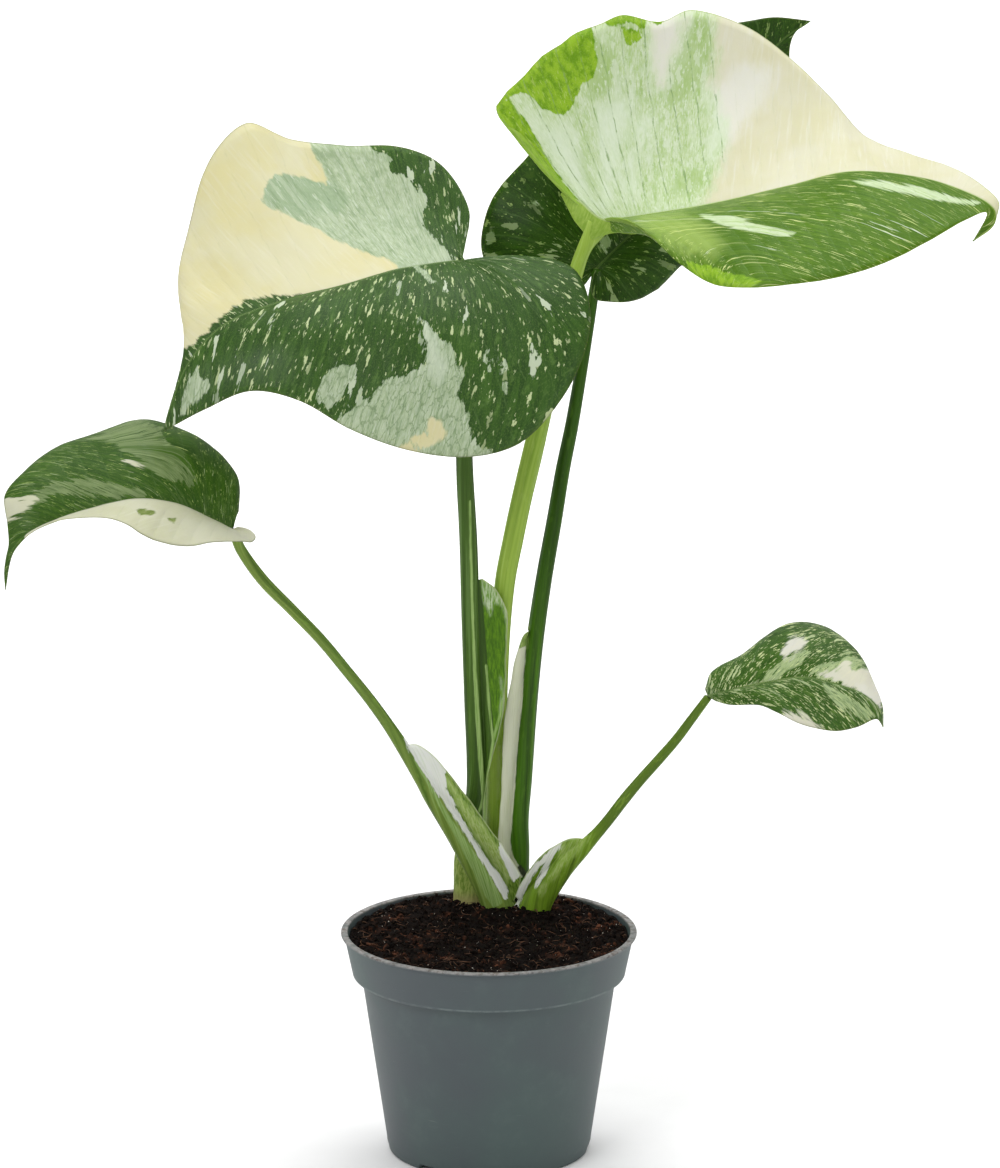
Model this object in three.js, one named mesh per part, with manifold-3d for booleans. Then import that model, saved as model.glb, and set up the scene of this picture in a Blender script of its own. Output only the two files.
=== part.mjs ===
// Potted Thai Constellation monstera, millimetres, +Z up, pot axis on Z, pot foot on Z = 0.
// The camera side is -Y. Leaves are lettered A to E: A large left, B large right and newest,
// C behind, D small left, E small right.
import * as THREE from 'three';
import { mergeVertices } from 'three/addons/utils/BufferGeometryUtils.js';
import Module from 'manifold-3d';

const wasm = await Module();
wasm.setup();

// Driving dimensions of the pot.
const POT_HEIGHT = 92;
const LIP_RADIUS = 60;
const LIP_THICKNESS = 1.2;
const COLLAR_TOP_RADIUS = 58.5;
const COLLAR_EDGE_RADIUS = 55.4;
const COLLAR_DROP = 17;
const BODY_TOP_RADIUS = 51.5;
const BODY_FOOT_RADIUS = 41.5;
const FOOT_RADIUS = 40.5;
const WALL = 1.2;
const FLOOR_LIFT = 2.4;
const FLOOR_THICKNESS = 1.4;
const FOOT_RING_WIDTH = 3;
const FOOT_BEVEL = 1.2;
const FOOT_FLARE = 0.3;
const FOOT_FLARE_Z = 4;
const PAD_RADIUS = 12;
const SHELF_DROP = 2.5;
const COLLAR_BEVEL_IN = 0.8;
const BEVEL_RISE = 0.6;
const LIP_BEVEL_IN = 0.4;
const POT_SEGMENTS = 64;
const NOTCH_COUNT = 3;
const NOTCH_WIDTH = 15.5;
const NOTCH_HEIGHT = 2.4;
const NOTCH_ANGLE = -122;
const NOTCH_REACH = 12;
const DRAIN_COUNT = 6;
const DRAIN_RADIUS = 3.2;
const DRAIN_CIRCLE = 27;
const DRAIN_SIDES = 12;
const DRAIN_TOOL_HEIGHT = 12;
const DRAIN_TOOL_Z = 3;
// The inside of the pot: how far each edge of its section is set in or raised.
const MOUTH_STEP = 0.3;
const INNER_EDGE_IN = 0.2;
const INNER_RISE = 0.4;
const FLOOR_ROUND_OUT = 0.3;
const FLOOR_ROUND_IN = 0.7;
const FLOOR_ROUND_RISE = 1;
// Soil.
const FIT_GAP = 0.3;
const SOIL_EDGE_Z = 88.5;
const SOIL_CROWN_Z = 92;
const SOIL_RINGS = 13;
const SOIL_SPOKES = 56;
const MOUND_STRETCH = 1.3;
const MOUND_RADIUS = 28;
const LUMP_HEIGHT = 0.45;
const LUMPS_FROM = 11;
const LUMPS_FULL = 18;
const SOIL_SLACK = 0.2;
// Crown, the section as [inset from the full half length, height] from the bottom up.
const CROWN_CENTRE = [6, 35];
const CROWN_HALF_LENGTH = 20;
const CROWN_HALF_DEPTH = 12.5;
const CROWN_TOP_Z = 93;
const CROWN_SECTION = [[6, 58], [1.5, 64], [1, 76], [0, 78], [1, 80], [0.8, 87], [0, 89],
  [0, 92.2], [0.6, CROWN_TOP_Z]];
const CROWN_SIDES = 32;
const CLEAR_ABOVE = 10;
const PETIOLE_FOOT_Z = CROWN_TOP_Z + FIT_GAP;
// Leaves.
const BLADE_THICKNESS = 0.8;
const KEEL_DEPTH = 1.2;
const BLADE_COLUMNS = [0, 0.06, 0.24, 0.44, 0.64, 0.83, 1];
const SHEATH_THICKNESS = 0.9;
const SHEATH_COLUMNS = [0, 0.35, 0.7, 1];
const PETIOLE_SIDES = 12;
const AXIS_STEP = 0.01;
const FOOT_CUT_SIZE = 200;
const FOOT_CUT_DEPTH = 60;
const WELD_DISTANCE = 1e-4;

const group = new THREE.Group();
group.name = 'potted_monstera';

// A mesh for one closed body, with its own material.
function addNode(name, geometry, colour, roughness) {
  const flat = geometry.toNonIndexed();
  flat.computeVertexNormals();
  const material = new THREE.MeshStandardMaterial({ color: colour, roughness, metalness: 0 });
  const mesh = new THREE.Mesh(flat, material);
  mesh.name = name;
  group.add(mesh);
}

function toSolid(geometry) {
  const bare = geometry.clone();
  bare.deleteAttribute('normal');
  bare.deleteAttribute('uv');
  const merged = mergeVertices(bare, WELD_DISTANCE);
  return new wasm.Manifold(new wasm.Mesh({
    numProp: 3,
    vertProperties: new Float32Array(merged.attributes.position.array),
    triVerts: new Uint32Array(merged.index.array),
  }));
}

function toGeometry(solid) {
  const mesh = solid.getMesh();
  const geometry = new THREE.BufferGeometry();
  const points = new Float32Array(mesh.numVert * 3);
  for (let i = 0; i < mesh.numVert; i += 1) {
    for (let k = 0; k < 3; k += 1) {
      points[3 * i + k] = mesh.vertProperties[mesh.numProp * i + k];
    }
  }
  geometry.setAttribute('position', new THREE.BufferAttribute(points, 3));
  geometry.setIndex(new THREE.BufferAttribute(new Uint32Array(mesh.triVerts), 1));
  return geometry;
}

// Collects vertices and triangles of a hand built surface.
class Builder {
  constructor() {
    this.points = [];
    this.faces = [];
  }

  add(point) {
    this.points.push(point.x, point.y, point.z);
    return this.points.length / 3 - 1;
  }

  tri(a, b, c) {
    if (a !== b && b !== c && a !== c) {
      this.faces.push(a, b, c);
    }
  }

  geometry() {
    const geometry = new THREE.BufferGeometry();
    geometry.setAttribute('position', new THREE.Float32BufferAttribute(this.points, 3));
    geometry.setIndex(this.faces);
    return geometry;
  }
}

function vec(list) {
  return new THREE.Vector3(list[0], list[1], list[2]);
}

// A spline is a cubic through rows of numbers at rising keys.
function chordKeys(points) {
  const keys = [0];
  for (let i = 1; i < points.length; i += 1) {
    keys.push(keys[i - 1] + vec(points[i]).distanceTo(vec(points[i - 1])));
  }
  const total = keys[keys.length - 1];
  return keys.map((key) => key / total);
}

function spline(rows, keys, x) {
  const last = keys.length - 2;
  let i = 0;
  while (i < last && x >= keys[i + 1]) {
    i += 1;
  }
  const step = (j) => keys[j + 1] - keys[j];
  const slope = (j, k) => (rows[j + 1][k] - rows[j][k]) / step(j);
  const tangent = (j, k) => {
    if (j === 0) {
      return slope(0, k);
    }
    if (j === keys.length - 1) {
      return slope(j - 1, k);
    }
    return (slope(j - 1, k) * step(j) + slope(j, k) * step(j - 1)) / (step(j - 1) + step(j));
  };
  const h = step(i);
  const s = (x - keys[i]) / h;
  const h00 = 2 * s ** 3 - 3 * s ** 2 + 1;
  const h10 = s ** 3 - 2 * s ** 2 + s;
  const h01 = -2 * s ** 3 + 3 * s ** 2;
  const h11 = s ** 3 - s ** 2;
  return rows[i].map((value, k) => h00 * value + h10 * h * tangent(i, k)
    + h01 * rows[i + 1][k] + h11 * h * tangent(i + 1, k));
}

function interpolate(x, xs, ys) {
  let i = 0;
  while (i < xs.length - 2 && x > xs[i + 1]) {
    i += 1;
  }
  return ys[i] + ((ys[i + 1] - ys[i]) * (x - xs[i])) / (xs[i + 1] - xs[i]);
}

// A plate is a surface given a thickness and closed round its edge loop.
// extraBelow adds depth under a vertex, which makes the keel of a midrib.
function thicken(points, triangles, loop, thickness, extraBelow) {
  const normals = points.map(() => new THREE.Vector3());
  const total = new THREE.Vector3();
  for (const [a, b, c] of triangles) {
    const edge = points[b].clone().sub(points[a]);
    const normal = edge.cross(points[c].clone().sub(points[a]));
    total.add(normal);
    for (const i of [a, b, c]) {
      normals[i].add(normal);
    }
  }
  const flip = total.z < 0;
  const builder = new Builder();
  const half = thickness / 2;
  const top = points.map((point, i) => {
    const normal = normals[i].normalize().multiplyScalar(flip ? -1 : 1);
    return builder.add(point.clone().addScaledVector(normal, half));
  });
  const bottom = points.map((point, i) => {
    const depth = half + (extraBelow ? extraBelow(i) : 0);
    return builder.add(point.clone().addScaledVector(normals[i], -depth));
  });
  for (const [a, b, c] of triangles) {
    const [p, q, r] = flip ? [a, c, b] : [a, b, c];
    builder.tri(top[p], top[q], top[r]);
    builder.tri(bottom[p], bottom[r], bottom[q]);
  }
  const ring = flip ? loop.slice().reverse() : loop;
  ring.forEach((a, i) => {
    const b = ring[(i + 1) % ring.length];
    builder.tri(top[b], top[a], bottom[a]);
    builder.tri(top[b], bottom[a], bottom[b]);
  });
  return builder.geometry();
}

// Blades.
// A blade has a midrib and two halves. Each half lists margin stations as
// [share of the midrib where the vein starts, margin point, bulge of the vein], and stations
// with share 0 belong to the lobe behind the petiole. Both halves end at the drip tip.
function bladeHalf(midrib, stations, shares, lobeRows) {
  const tip = midrib[midrib.length - 1];
  const rows = [...stations, [1, tip, [0, 0, 0]]].map(([t, e, b]) => [...e, ...b, t]);
  const keys = chordKeys(rows);
  const lobeEnd = rows.filter((row) => row[6] === 0).length - 1;
  const mainKeys = keys.slice(lobeEnd);
  const mainShares = rows.slice(lobeEnd).map((row) => row[6]);
  const samples = [];
  for (let i = 0; i < lobeRows; i += 1) {
    samples.push([0, (keys[lobeEnd] * i) / (lobeRows - 1)]);
  }
  shares.slice(1).forEach((t) => samples.push([t, interpolate(t, mainShares, mainKeys)]));
  const midribKeys = chordKeys(midrib);
  return samples.map(([t, key]) => {
    const row = spline(rows, keys, key);
    return {
      t,
      foot: vec(spline(midrib, midribKeys, t)),
      edge: new THREE.Vector3(row[0], row[1], row[2]),
      bulge: new THREE.Vector3(row[3], row[4], row[5]),
    };
  });
}

// grow thickens the blade and shift moves it sideways, for the tool that trims the petiole.
function blade(leaf, grow = 0, shift = [0, 0]) {
  const shares = [];
  for (let i = 0; i <= leaf.rows; i += 1) {
    shares.push(i / leaf.rows);
  }
  const points = [];
  const triangles = [];
  const keel = [];
  const midribKeys = chordKeys(leaf.midrib);
  const spine = shares.map((t) => {
    points.push(vec(spline(leaf.midrib, midribKeys, t)));
    keel.push(KEEL_DEPTH * (1 - t));
    return points.length - 1;
  });
  const tip = spine[spine.length - 1];
  const edges = [];
  [leaf.far, leaf.near].forEach((stations, side) => {
    const rows = bladeHalf(leaf.midrib, stations, shares, leaf.lobeRows);
    const grid = rows.map((row, i) => {
      const foot = spine[Math.max(0, i - leaf.lobeRows + 1)];
      if (i === rows.length - 1) {
        return BLADE_COLUMNS.map(() => tip);
      }
      return BLADE_COLUMNS.map((v, j) => {
        if (j === 0) {
          return foot;
        }
        const point = row.foot.clone().lerp(row.edge, v);
        points.push(point.addScaledVector(row.bulge, 4 * v * (1 - v)));
        keel.push(0);
        return points.length - 1;
      });
    });
    for (let i = 0; i < grid.length - 1; i += 1) {
      for (let j = 0; j < BLADE_COLUMNS.length - 1; j += 1) {
        const corners = [grid[i][j], grid[i][j + 1], grid[i + 1][j + 1], grid[i + 1][j]];
        const [a, b, c, d] = side === 0 ? corners : [corners[0], corners[3], corners[2], corners[1]];
        for (const face of [[a, b, c], [a, c, d]]) {
          if (new Set(face).size === 3) {
            triangles.push(face);
          }
        }
      }
    }
    edges.push([...grid[0], ...grid.slice(1, -1).map((row) => row[row.length - 1])]);
  });
  const loop = [...edges[0], tip, ...edges[1].slice(1).reverse()];
  const geometry = thicken(points, triangles, loop, BLADE_THICKNESS + 2 * grow, (i) => keel[i]);
  geometry.translate(shift[0], shift[1], 0);
  return toSolid(geometry);
}

// A petiole is a tube of changing oval section, with a sheath plate joined to it.
// Each station is [x, y, z, half width, half depth].
function tube(stations, rings) {
  const keys = chordKeys(stations);
  const builder = new Builder();
  const sections = [];
  const centres = [];
  for (let i = 0; i <= rings; i += 1) {
    const row = spline(stations, keys, i / rings);
    const before = vec(spline(stations, keys, Math.max(0, i / rings - AXIS_STEP)));
    const after = vec(spline(stations, keys, Math.min(1, i / rings + AXIS_STEP)));
    const axis = after.sub(before).normalize();
    const side = axis.clone().cross(new THREE.Vector3(0, 1, 0)).normalize();
    const depth = axis.clone().cross(side).normalize();
    const centre = vec(row);
    centres.push(centre);
    const ring = [];
    for (let k = 0; k < PETIOLE_SIDES; k += 1) {
      const angle = (2 * Math.PI * k) / PETIOLE_SIDES;
      const point = centre.clone().addScaledVector(side, row[3] * Math.cos(angle));
      ring.push(builder.add(point.addScaledVector(depth, row[4] * Math.sin(angle))));
    }
    sections.push(ring);
  }
  const start = builder.add(centres[0]);
  const end = builder.add(centres[rings]);
  for (let k = 0; k < PETIOLE_SIDES; k += 1) {
    const n = (k + 1) % PETIOLE_SIDES;
    for (let i = 0; i < rings; i += 1) {
      builder.tri(sections[i][k], sections[i][n], sections[i + 1][n]);
      builder.tri(sections[i][k], sections[i + 1][n], sections[i + 1][k]);
    }
    builder.tri(start, sections[0][n], sections[0][k]);
    builder.tri(end, sections[rings][k], sections[rings][n]);
  }
  return toSolid(builder.geometry());
}

// The sheath runs from inside the petiole to its free edge. Each row is
// [share along the petiole, edge point], and its middle is pushed towards the viewer.
function sheath(stations, rows, bow) {
  const keys = chordKeys(stations);
  const points = [];
  const grid = rows.map(([share, edge]) => {
    const foot = vec(spline(stations, keys, share));
    return SHEATH_COLUMNS.map((v) => {
      const point = foot.clone().lerp(vec(edge), v);
      point.y -= bow * 4 * v * (1 - v);
      points.push(point);
      return points.length - 1;
    });
  });
  const triangles = [];
  for (let i = 0; i < grid.length - 1; i += 1) {
    for (let j = 0; j < SHEATH_COLUMNS.length - 1; j += 1) {
      triangles.push([grid[i][j], grid[i][j + 1], grid[i + 1][j + 1]]);
      triangles.push([grid[i][j], grid[i + 1][j + 1], grid[i + 1][j]]);
    }
  }
  const end = SHEATH_COLUMNS.length - 1;
  const loop = [
    ...grid[0],
    ...grid.slice(1).map((row) => row[end]),
    ...grid[grid.length - 1].slice(0, end).reverse(),
    ...grid.slice(1, -1).map((row) => row[0]).reverse(),
  ];
  return toSolid(thicken(points, triangles, loop, SHEATH_THICKNESS, null));
}

function box(width, depth, height, x, y, z) {
  const geometry = new THREE.BoxGeometry(width, depth, height);
  geometry.translate(x, y, z);
  return toSolid(geometry);
}

function petiole(leaf) {
  let solid = tube(leaf.petiole, leaf.petioleRings);
  if (leaf.sheath) {
    solid = solid.add(sheath(leaf.petiole, leaf.sheath, leaf.sheathBow));
  }
  // The foot is cut level where the petiole stands on the crown, and the top where it meets
  // the underside of its blade. What is left above the blade is dropped.
  const [cx, cy] = CROWN_CENTRE;
  const cutZ = PETIOLE_FOOT_Z - FOOT_CUT_DEPTH / 2;
  solid = solid.subtract(box(FOOT_CUT_SIZE, FOOT_CUT_SIZE, FOOT_CUT_DEPTH, cx, cy, cutZ));
  for (const [x, y] of [[1, 0], [-1, 0], [0, 1], [0, -1]]) {
    solid = solid.subtract(blade(leaf, FIT_GAP, [x * FIT_GAP, y * FIT_GAP]));
  }
  const parts = solid.decompose().sort((p, q) => q.volume() - p.volume());
  return parts[0];
}

// Whole millimetres, read from the photo at an assumed depth.
const LEAVES = {
  a: {
    rows: 14,
    lobeRows: 8,
    midrib: [[-11, 20, 364], [-19, 16, 364], [-35, 8, 363], [-59, 2, 357], [-82, -4, 352],
      [-104, -10, 344], [-118, -17, 330], [-125, -22, 314], [-128, -24, 304]],
    far: [
      [0, [-9, 27, 371], [0, 0, 0]],
      [0, [-8, 38, 382], [0, 0, -1]],
      [0, [-19, 52, 397], [0, 0, -3]],
      [0.06, [-36, 60, 403], [0, 0, -4]],
      [0.15, [-58, 64, 403], [0, 0, -5]],
      [0.27, [-80, 66, 405], [0, 0, -5]],
      [0.4, [-98, 64, 412], [0, 0, -4]],
      [0.5, [-113, 54, 397], [-2, 0, -2]],
      [0.6, [-121, 36, 371], [-3, 0, 0]],
      [0.7, [-124, 16, 353], [-3, 0, 2]],
      [0.84, [-119, -8, 334], [-1, 0, 1]],
    ],
    near: [
      [0, [-1, 20, 364], [0, 0, 0]],
      [0, [14, 18, 366], [0, 0, 0]],
      [0, [33, 12, 363], [0, 0, 3]],
      [0, [40, -2, 350], [0, -2, 7]],
      [0, [38, -16, 335], [0, -4, 10]],
      [0, [29, -26, 318], [0, -5, 12]],
      [0.04, [13, -34, 302], [0, -6, 12]],
      [0.12, [-7, -38, 297], [0, -7, 12]],
      [0.22, [-31, -40, 300], [0, -7, 12]],
      [0.34, [-54, -38, 308], [0, -6, 10]],
      [0.46, [-74, -36, 319], [0, -5, 8]],
      [0.6, [-93, -32, 322], [0, -3, 5]],
      [0.78, [-111, -28, 314], [0, -1, 2]],
    ],
    petioleRings: 12,
    petiole: [[-7, 36, 88, 6.2, 4], [-6, 35, 106, 5.4, 4], [-5, 34, 135, 4.5, 3.4],
      [-5, 33, 175, 3.7, 3], [-7, 30, 233, 3.2, 2.8], [-10, 25, 283, 2.9, 2.6],
      [-10, 22, 323, 2.6, 2.3], [-11, 20, 352, 2.3, 2], [-11, 20, 363, 1.9, 1.7]],
    sheathBow: 1.5,
    sheath: [[0.03, [1, 32, 96]], [0.12, [3, 31, 120]], [0.22, [4, 31, 148]],
      [0.32, [6, 31, 175]], [0.41, [7, 31, 201]], [0.465, [7, 30, 217]], [0.5, [3, 29, 228]],
      [0.515, [-4, 29, 232]]],
  },
  b: {
    rows: 15,
    lobeRows: 8,
    midrib: [[44, 30, 378], [64, 26, 381], [92, 20, 386], [119, 14, 392], [143, 8, 398],
      [170, 0, 399], [189, -8, 395], [198, -14, 391], [198, -15, 385], [190, -13, 378]],
    far: [
      [0, [40, 34, 379], [0, 0, 0]],
      [0, [35, 38, 383], [0, 0, -1]],
      [0, [29, 44, 392], [0, 0, -2]],
      [0, [13, 50, 410], [0, 0, -3]],
      [0, [3, 56, 422], [0, 2, -4]],
      [0.02, [12, 62, 431], [0, 3, -5]],
      [0.06, [30, 70, 446], [0, 4, -6]],
      [0.12, [54, 76, 454], [0, 4, -7]],
      [0.2, [69, 80, 451], [0, 4, -7]],
      [0.27, [82, 84, 455], [0, 4, -7]],
      [0.36, [104, 80, 449], [0, 4, -6]],
      [0.45, [121, 70, 438], [0, 3, -5]],
      [0.55, [137, 56, 424], [0, 2, -3]],
      [0.64, [150, 42, 411], [0, 1, -2]],
      [0.72, [167, 26, 406], [0, 0, -1]],
      [0.79, [182, 10, 404], [0, 0, 0]],
      [0.85, [195, -4, 398], [0, 0, 0]],
      [0.94, [200, -14, 392], [0, 0, 0]],
    ],
    near: [
      [0, [49, 22, 375], [0, 0, 1]],
      [0, [57, 10, 377], [0, 0, 2]],
      [0, [64, -6, 378], [0, 0, 4]],
      [0, [75, -24, 371], [0, 0, 6]],
      [0.04, [87, -38, 366], [0, 0, 7]],
      [0.12, [99, -46, 366], [0, 0, 7]],
      [0.25, [117, -50, 368], [0, 0, 7]],
      [0.4, [136, -50, 371], [0, 0, 6]],
      [0.54, [155, -44, 376], [0, 0, 5]],
      [0.66, [172, -36, 383], [0, 0, 3]],
      [0.78, [186, -26, 389], [0, 0, 1]],
      [0.9, [195, -17, 390], [0, 0, 0]],
    ],
    petioleRings: 12,
    petiole: [[4, 43, 88, 3, 2.6], [4, 43, 106, 3, 2.6], [4, 42, 150, 3, 2.6],
      [4, 38, 200, 3.2, 2.8], [9, 35, 246, 3.6, 3], [18, 33, 285, 4.1, 3.2],
      [29, 32, 334, 3.9, 3.1], [37, 31, 360, 3.3, 2.8], [44, 30, 377, 2.2, 2]],
  },
  c: {
    rows: 12,
    lobeRows: 8,
    midrib: [[44, 58, 354], [61, 70, 369], [82, 84, 391], [102, 98, 418], [118, 108, 437],
      [132, 114, 446]],
    far: [
      [0, [39, 58, 347], [0, 0, 0]],
      [0, [29, 58, 341], [0, 0, 1]],
      [0, [13, 58, 342], [0, -2, 2]],
      [0, [-1, 60, 355], [0, -3, 3]],
      [0, [-3, 62, 366], [0, -4, 4]],
      [0, [2, 66, 382], [0, -4, 4]],
      [0.04, [16, 74, 397], [0, -4, 4]],
      [0.14, [35, 84, 418], [0, -4, 4]],
      [0.32, [61, 94, 436], [0, -4, 4]],
      [0.55, [86, 102, 444], [0, -3, 3]],
      [0.75, [106, 107, 447], [0, -2, 1]],
      [0.88, [117, 111, 448], [0, 0, 0]],
    ],
    near: [
      [0, [44, 56, 347], [0, 0, 0]],
      [0, [46, 54, 342], [0, 0, 1]],
      [0, [53, 56, 341], [0, -1, 2]],
      [0, [67, 62, 343], [0, -2, 3]],
      [0.02, [82, 72, 348], [0, -3, 4]],
      [0.12, [100, 82, 355], [0, -4, 4]],
      [0.28, [117, 92, 369], [0, -4, 4]],
      [0.48, [125, 100, 391], [0, -3, 3]],
      [0.68, [126, 106, 415], [0, -2, 2]],
      [0.82, [123, 109, 432], [0, 0, 0]],
      [0.9, [125, 111, 441], [0, 0, 0]],
    ],
    petioleRings: 12,
    petiole: [[12, 40, 88, 4, 3.4], [13, 41, 123, 3.6, 3.2], [17, 42, 178, 3.4, 3],
      [24, 45, 231, 3.1, 2.8], [33, 51, 288, 2.8, 2.5], [41, 56, 328, 2.4, 2.1],
      [44, 58, 352, 1.9, 1.7]],
    sheathBow: 1,
    sheath: [[0.03, [6, 36, 98]], [0.1, [5, 36, 115]], [0.18, [5, 36, 135]],
      [0.26, [6, 36, 158]], [0.34, [8, 37, 178]], [0.4, [11, 38, 194]], [0.43, [15, 41, 206]]],
  },
  d: {
    rows: 12,
    lobeRows: 7,
    midrib: [[-101, -22, 264], [-108, -24, 268], [-123, -29, 276], [-139, -34, 279],
      [-157, -40, 277], [-174, -46, 271], [-183, -50, 266], [-188, -53, 258], [-189, -54, 247]],
    far: [
      [0, [-99, -16, 270], [0, 0, 1]],
      [0, [-99, -8, 278], [0, 0, 3]],
      [0.02, [-101, -3, 283], [0, 0, 4]],
      [0.06, [-109, 3, 291], [0, 0, 5]],
      [0.13, [-121, 8, 298], [0, -2, 6]],
      [0.25, [-138, 10, 302], [0, -2, 7]],
      [0.4, [-155, 4, 298], [0, -2, 6]],
      [0.54, [-172, -10, 294], [0, -1, 5]],
      [0.66, [-185, -28, 287], [0, 0, 4]],
      [0.74, [-190, -38, 282], [0, 0, 2]],
      [0.84, [-188, -46, 273], [0, 0, 0]],
    ],
    near: [
      [0, [-95, -28, 266], [0, 0, 1]],
      [0, [-92, -38, 265], [0, 0, 1]],
      [0, [-96, -46, 265], [0, 0, 1]],
      [0.03, [-106, -52, 266], [0, 0, 2]],
      [0.12, [-119, -58, 266], [0, 0, 2]],
      [0.26, [-132, -62, 270], [0, 0, 1]],
      [0.4, [-143, -64, 277], [0, 0, 0]],
      [0.56, [-161, -62, 276], [0, 0, 0]],
      [0.74, [-177, -58, 270], [0, 0, 0]],
    ],
    petioleRings: 12,
    petiole: [[7, 29, 88, 6, 4.4], [2, 27, 101, 5.8, 4.4], [-10, 22, 124, 4.8, 4],
      [-26, 14, 152, 3.6, 3.2], [-42, 7, 177, 2.9, 2.6], [-64, -3, 208, 2.5, 2.3],
      [-83, -12, 234, 2.3, 2.1], [-93, -17, 246, 2.1, 1.9], [-101, -22, 263, 1.6, 1.5]],
    sheathBow: 1.2,
    sheath: [[0.06, [9, 27, 100]], [0.12, [10, 27, 108]], [0.19, [5, 25, 120]],
      [0.27, [-4, 22, 135]], [0.335, [-13, 18, 148]], [0.37, [-17, 17, 155]],
      [0.41, [-25, 14, 165]], [0.43, [-32, 14, 167]]],
  },
  e: {
    rows: 11,
    lobeRows: 5,
    midrib: [[88, 0, 190], [99, -4, 194], [113, -8, 198], [126, -13, 201], [140, -18, 199],
      [150, -22, 196], [156, -24, 190], [157, -25, 184]],
    far: [
      [0, [87, 4, 192], [0, 0, 0]],
      [0, [90, 9, 198], [0, 0, 2]],
      [0.06, [103, 16, 204], [0, 0, 3]],
      [0.14, [112, 22, 209], [0, 0, 4]],
      [0.26, [120, 26, 213], [0, 0, 5]],
      [0.38, [127, 27, 214], [0, 0, 5]],
      [0.5, [136, 23, 213], [0, 0, 5]],
      [0.62, [144, 14, 210], [0, 0, 4]],
      [0.74, [150, 4, 205], [0, 0, 3]],
      [0.84, [154, -10, 198], [0, 0, 1]],
      [0.93, [157, -20, 191], [0, 0, 0]],
    ],
    near: [
      [0, [91, -4, 189], [0, 0, 0]],
      [0, [97, -10, 189], [0, 0, 1]],
      [0.08, [108, -18, 191], [0, 0, 2]],
      [0.2, [115, -26, 190], [0, 0, 3]],
      [0.34, [124, -32, 187], [0, 0, 3]],
      [0.52, [137, -35, 185], [0, 0, 3]],
      [0.7, [146, -33, 186], [0, 0, 2]],
      [0.86, [154, -28, 188], [0, 0, 1]],
    ],
    petioleRings: 10,
    petiole: [[19, 28, 88, 6, 4], [24, 27, 100, 5.6, 4], [31, 23, 111, 4.6, 3.6],
      [42, 18, 127, 3.1, 2.8], [53, 14, 142, 2.5, 2.3], [65, 9, 156, 2.2, 2],
      [78, 4, 173, 2, 1.8], [88, 0, 189, 1.5, 1.4]],
    sheathBow: 1,
    sheath: [[0.06, [14, 27, 99]], [0.13, [18, 25, 109]], [0.2, [23, 23, 116]],
      [0.29, [32, 20, 124]], [0.35, [39, 20, 125]]],
  },
};

// Pot.
function potProfile() {
  const lipZ = POT_HEIGHT - LIP_THICKNESS;
  const edgeZ = POT_HEIGHT - COLLAR_DROP;
  const shelfZ = edgeZ - SHELF_DROP;
  const floorTop = FLOOR_LIFT + FLOOR_THICKNESS;
  const ringInner = FOOT_RADIUS - FOOT_RING_WIDTH;
  const mouth = COLLAR_TOP_RADIUS - WALL;
  const bodyFootInner = BODY_FOOT_RADIUS - WALL;
  return [
    [0, 0],
    [PAD_RADIUS, 0],
    [PAD_RADIUS, FLOOR_LIFT],
    [ringInner, FLOOR_LIFT],
    [ringInner, 0],
    [FOOT_RADIUS, 0],
    [BODY_FOOT_RADIUS, FOOT_BEVEL],
    [BODY_FOOT_RADIUS + FOOT_FLARE, FOOT_FLARE_Z],
    [BODY_TOP_RADIUS, shelfZ],
    [COLLAR_EDGE_RADIUS - COLLAR_BEVEL_IN, edgeZ - BEVEL_RISE],
    [COLLAR_EDGE_RADIUS, edgeZ],
    [COLLAR_TOP_RADIUS, lipZ - BEVEL_RISE],
    [LIP_RADIUS - LIP_BEVEL_IN, lipZ],
    [LIP_RADIUS, lipZ + BEVEL_RISE],
    [LIP_RADIUS - LIP_BEVEL_IN, POT_HEIGHT],
    [mouth, POT_HEIGHT],
    [mouth - MOUTH_STEP, lipZ],
    [COLLAR_EDGE_RADIUS - WALL - INNER_EDGE_IN, edgeZ + INNER_RISE],
    [BODY_TOP_RADIUS - WALL, shelfZ - INNER_RISE],
    [bodyFootInner + FLOOR_ROUND_OUT, floorTop + FLOOR_ROUND_RISE],
    [bodyFootInner - FLOOR_ROUND_IN, floorTop],
    [0, floorTop],
  ].map(([r, z]) => new THREE.Vector2(r, z));
}

// Turns a lathe body made about Y so that it stands about Z.
function lathe(profile, segments) {
  const geometry = new THREE.LatheGeometry(profile, segments);
  geometry.rotateX(Math.PI / 2);
  return geometry;
}

function pot() {
  let solid = toSolid(lathe(potProfile(), POT_SEGMENTS));
  for (let i = 0; i < NOTCH_COUNT; i += 1) {
    const angle = THREE.MathUtils.degToRad(NOTCH_ANGLE + (360 / NOTCH_COUNT) * i);
    const notch = new THREE.BoxGeometry(NOTCH_REACH, NOTCH_WIDTH, 2 * NOTCH_HEIGHT);
    notch.rotateZ(angle);
    notch.translate(Math.cos(angle) * FOOT_RADIUS, Math.sin(angle) * FOOT_RADIUS, 0);
    solid = solid.subtract(toSolid(notch));
  }
  for (let i = 0; i < DRAIN_COUNT; i += 1) {
    const angle = ((i + 0.5) * 2 * Math.PI) / DRAIN_COUNT;
    const x = Math.cos(angle) * DRAIN_CIRCLE;
    const y = Math.sin(angle) * DRAIN_CIRCLE;
    const drain = new THREE.CylinderGeometry(DRAIN_RADIUS, DRAIN_RADIUS, DRAIN_TOOL_HEIGHT, DRAIN_SIDES);
    drain.rotateX(Math.PI / 2);
    drain.translate(x, y, DRAIN_TOOL_Z);
    solid = solid.subtract(toSolid(drain));
  }
  return toGeometry(solid);
}

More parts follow.
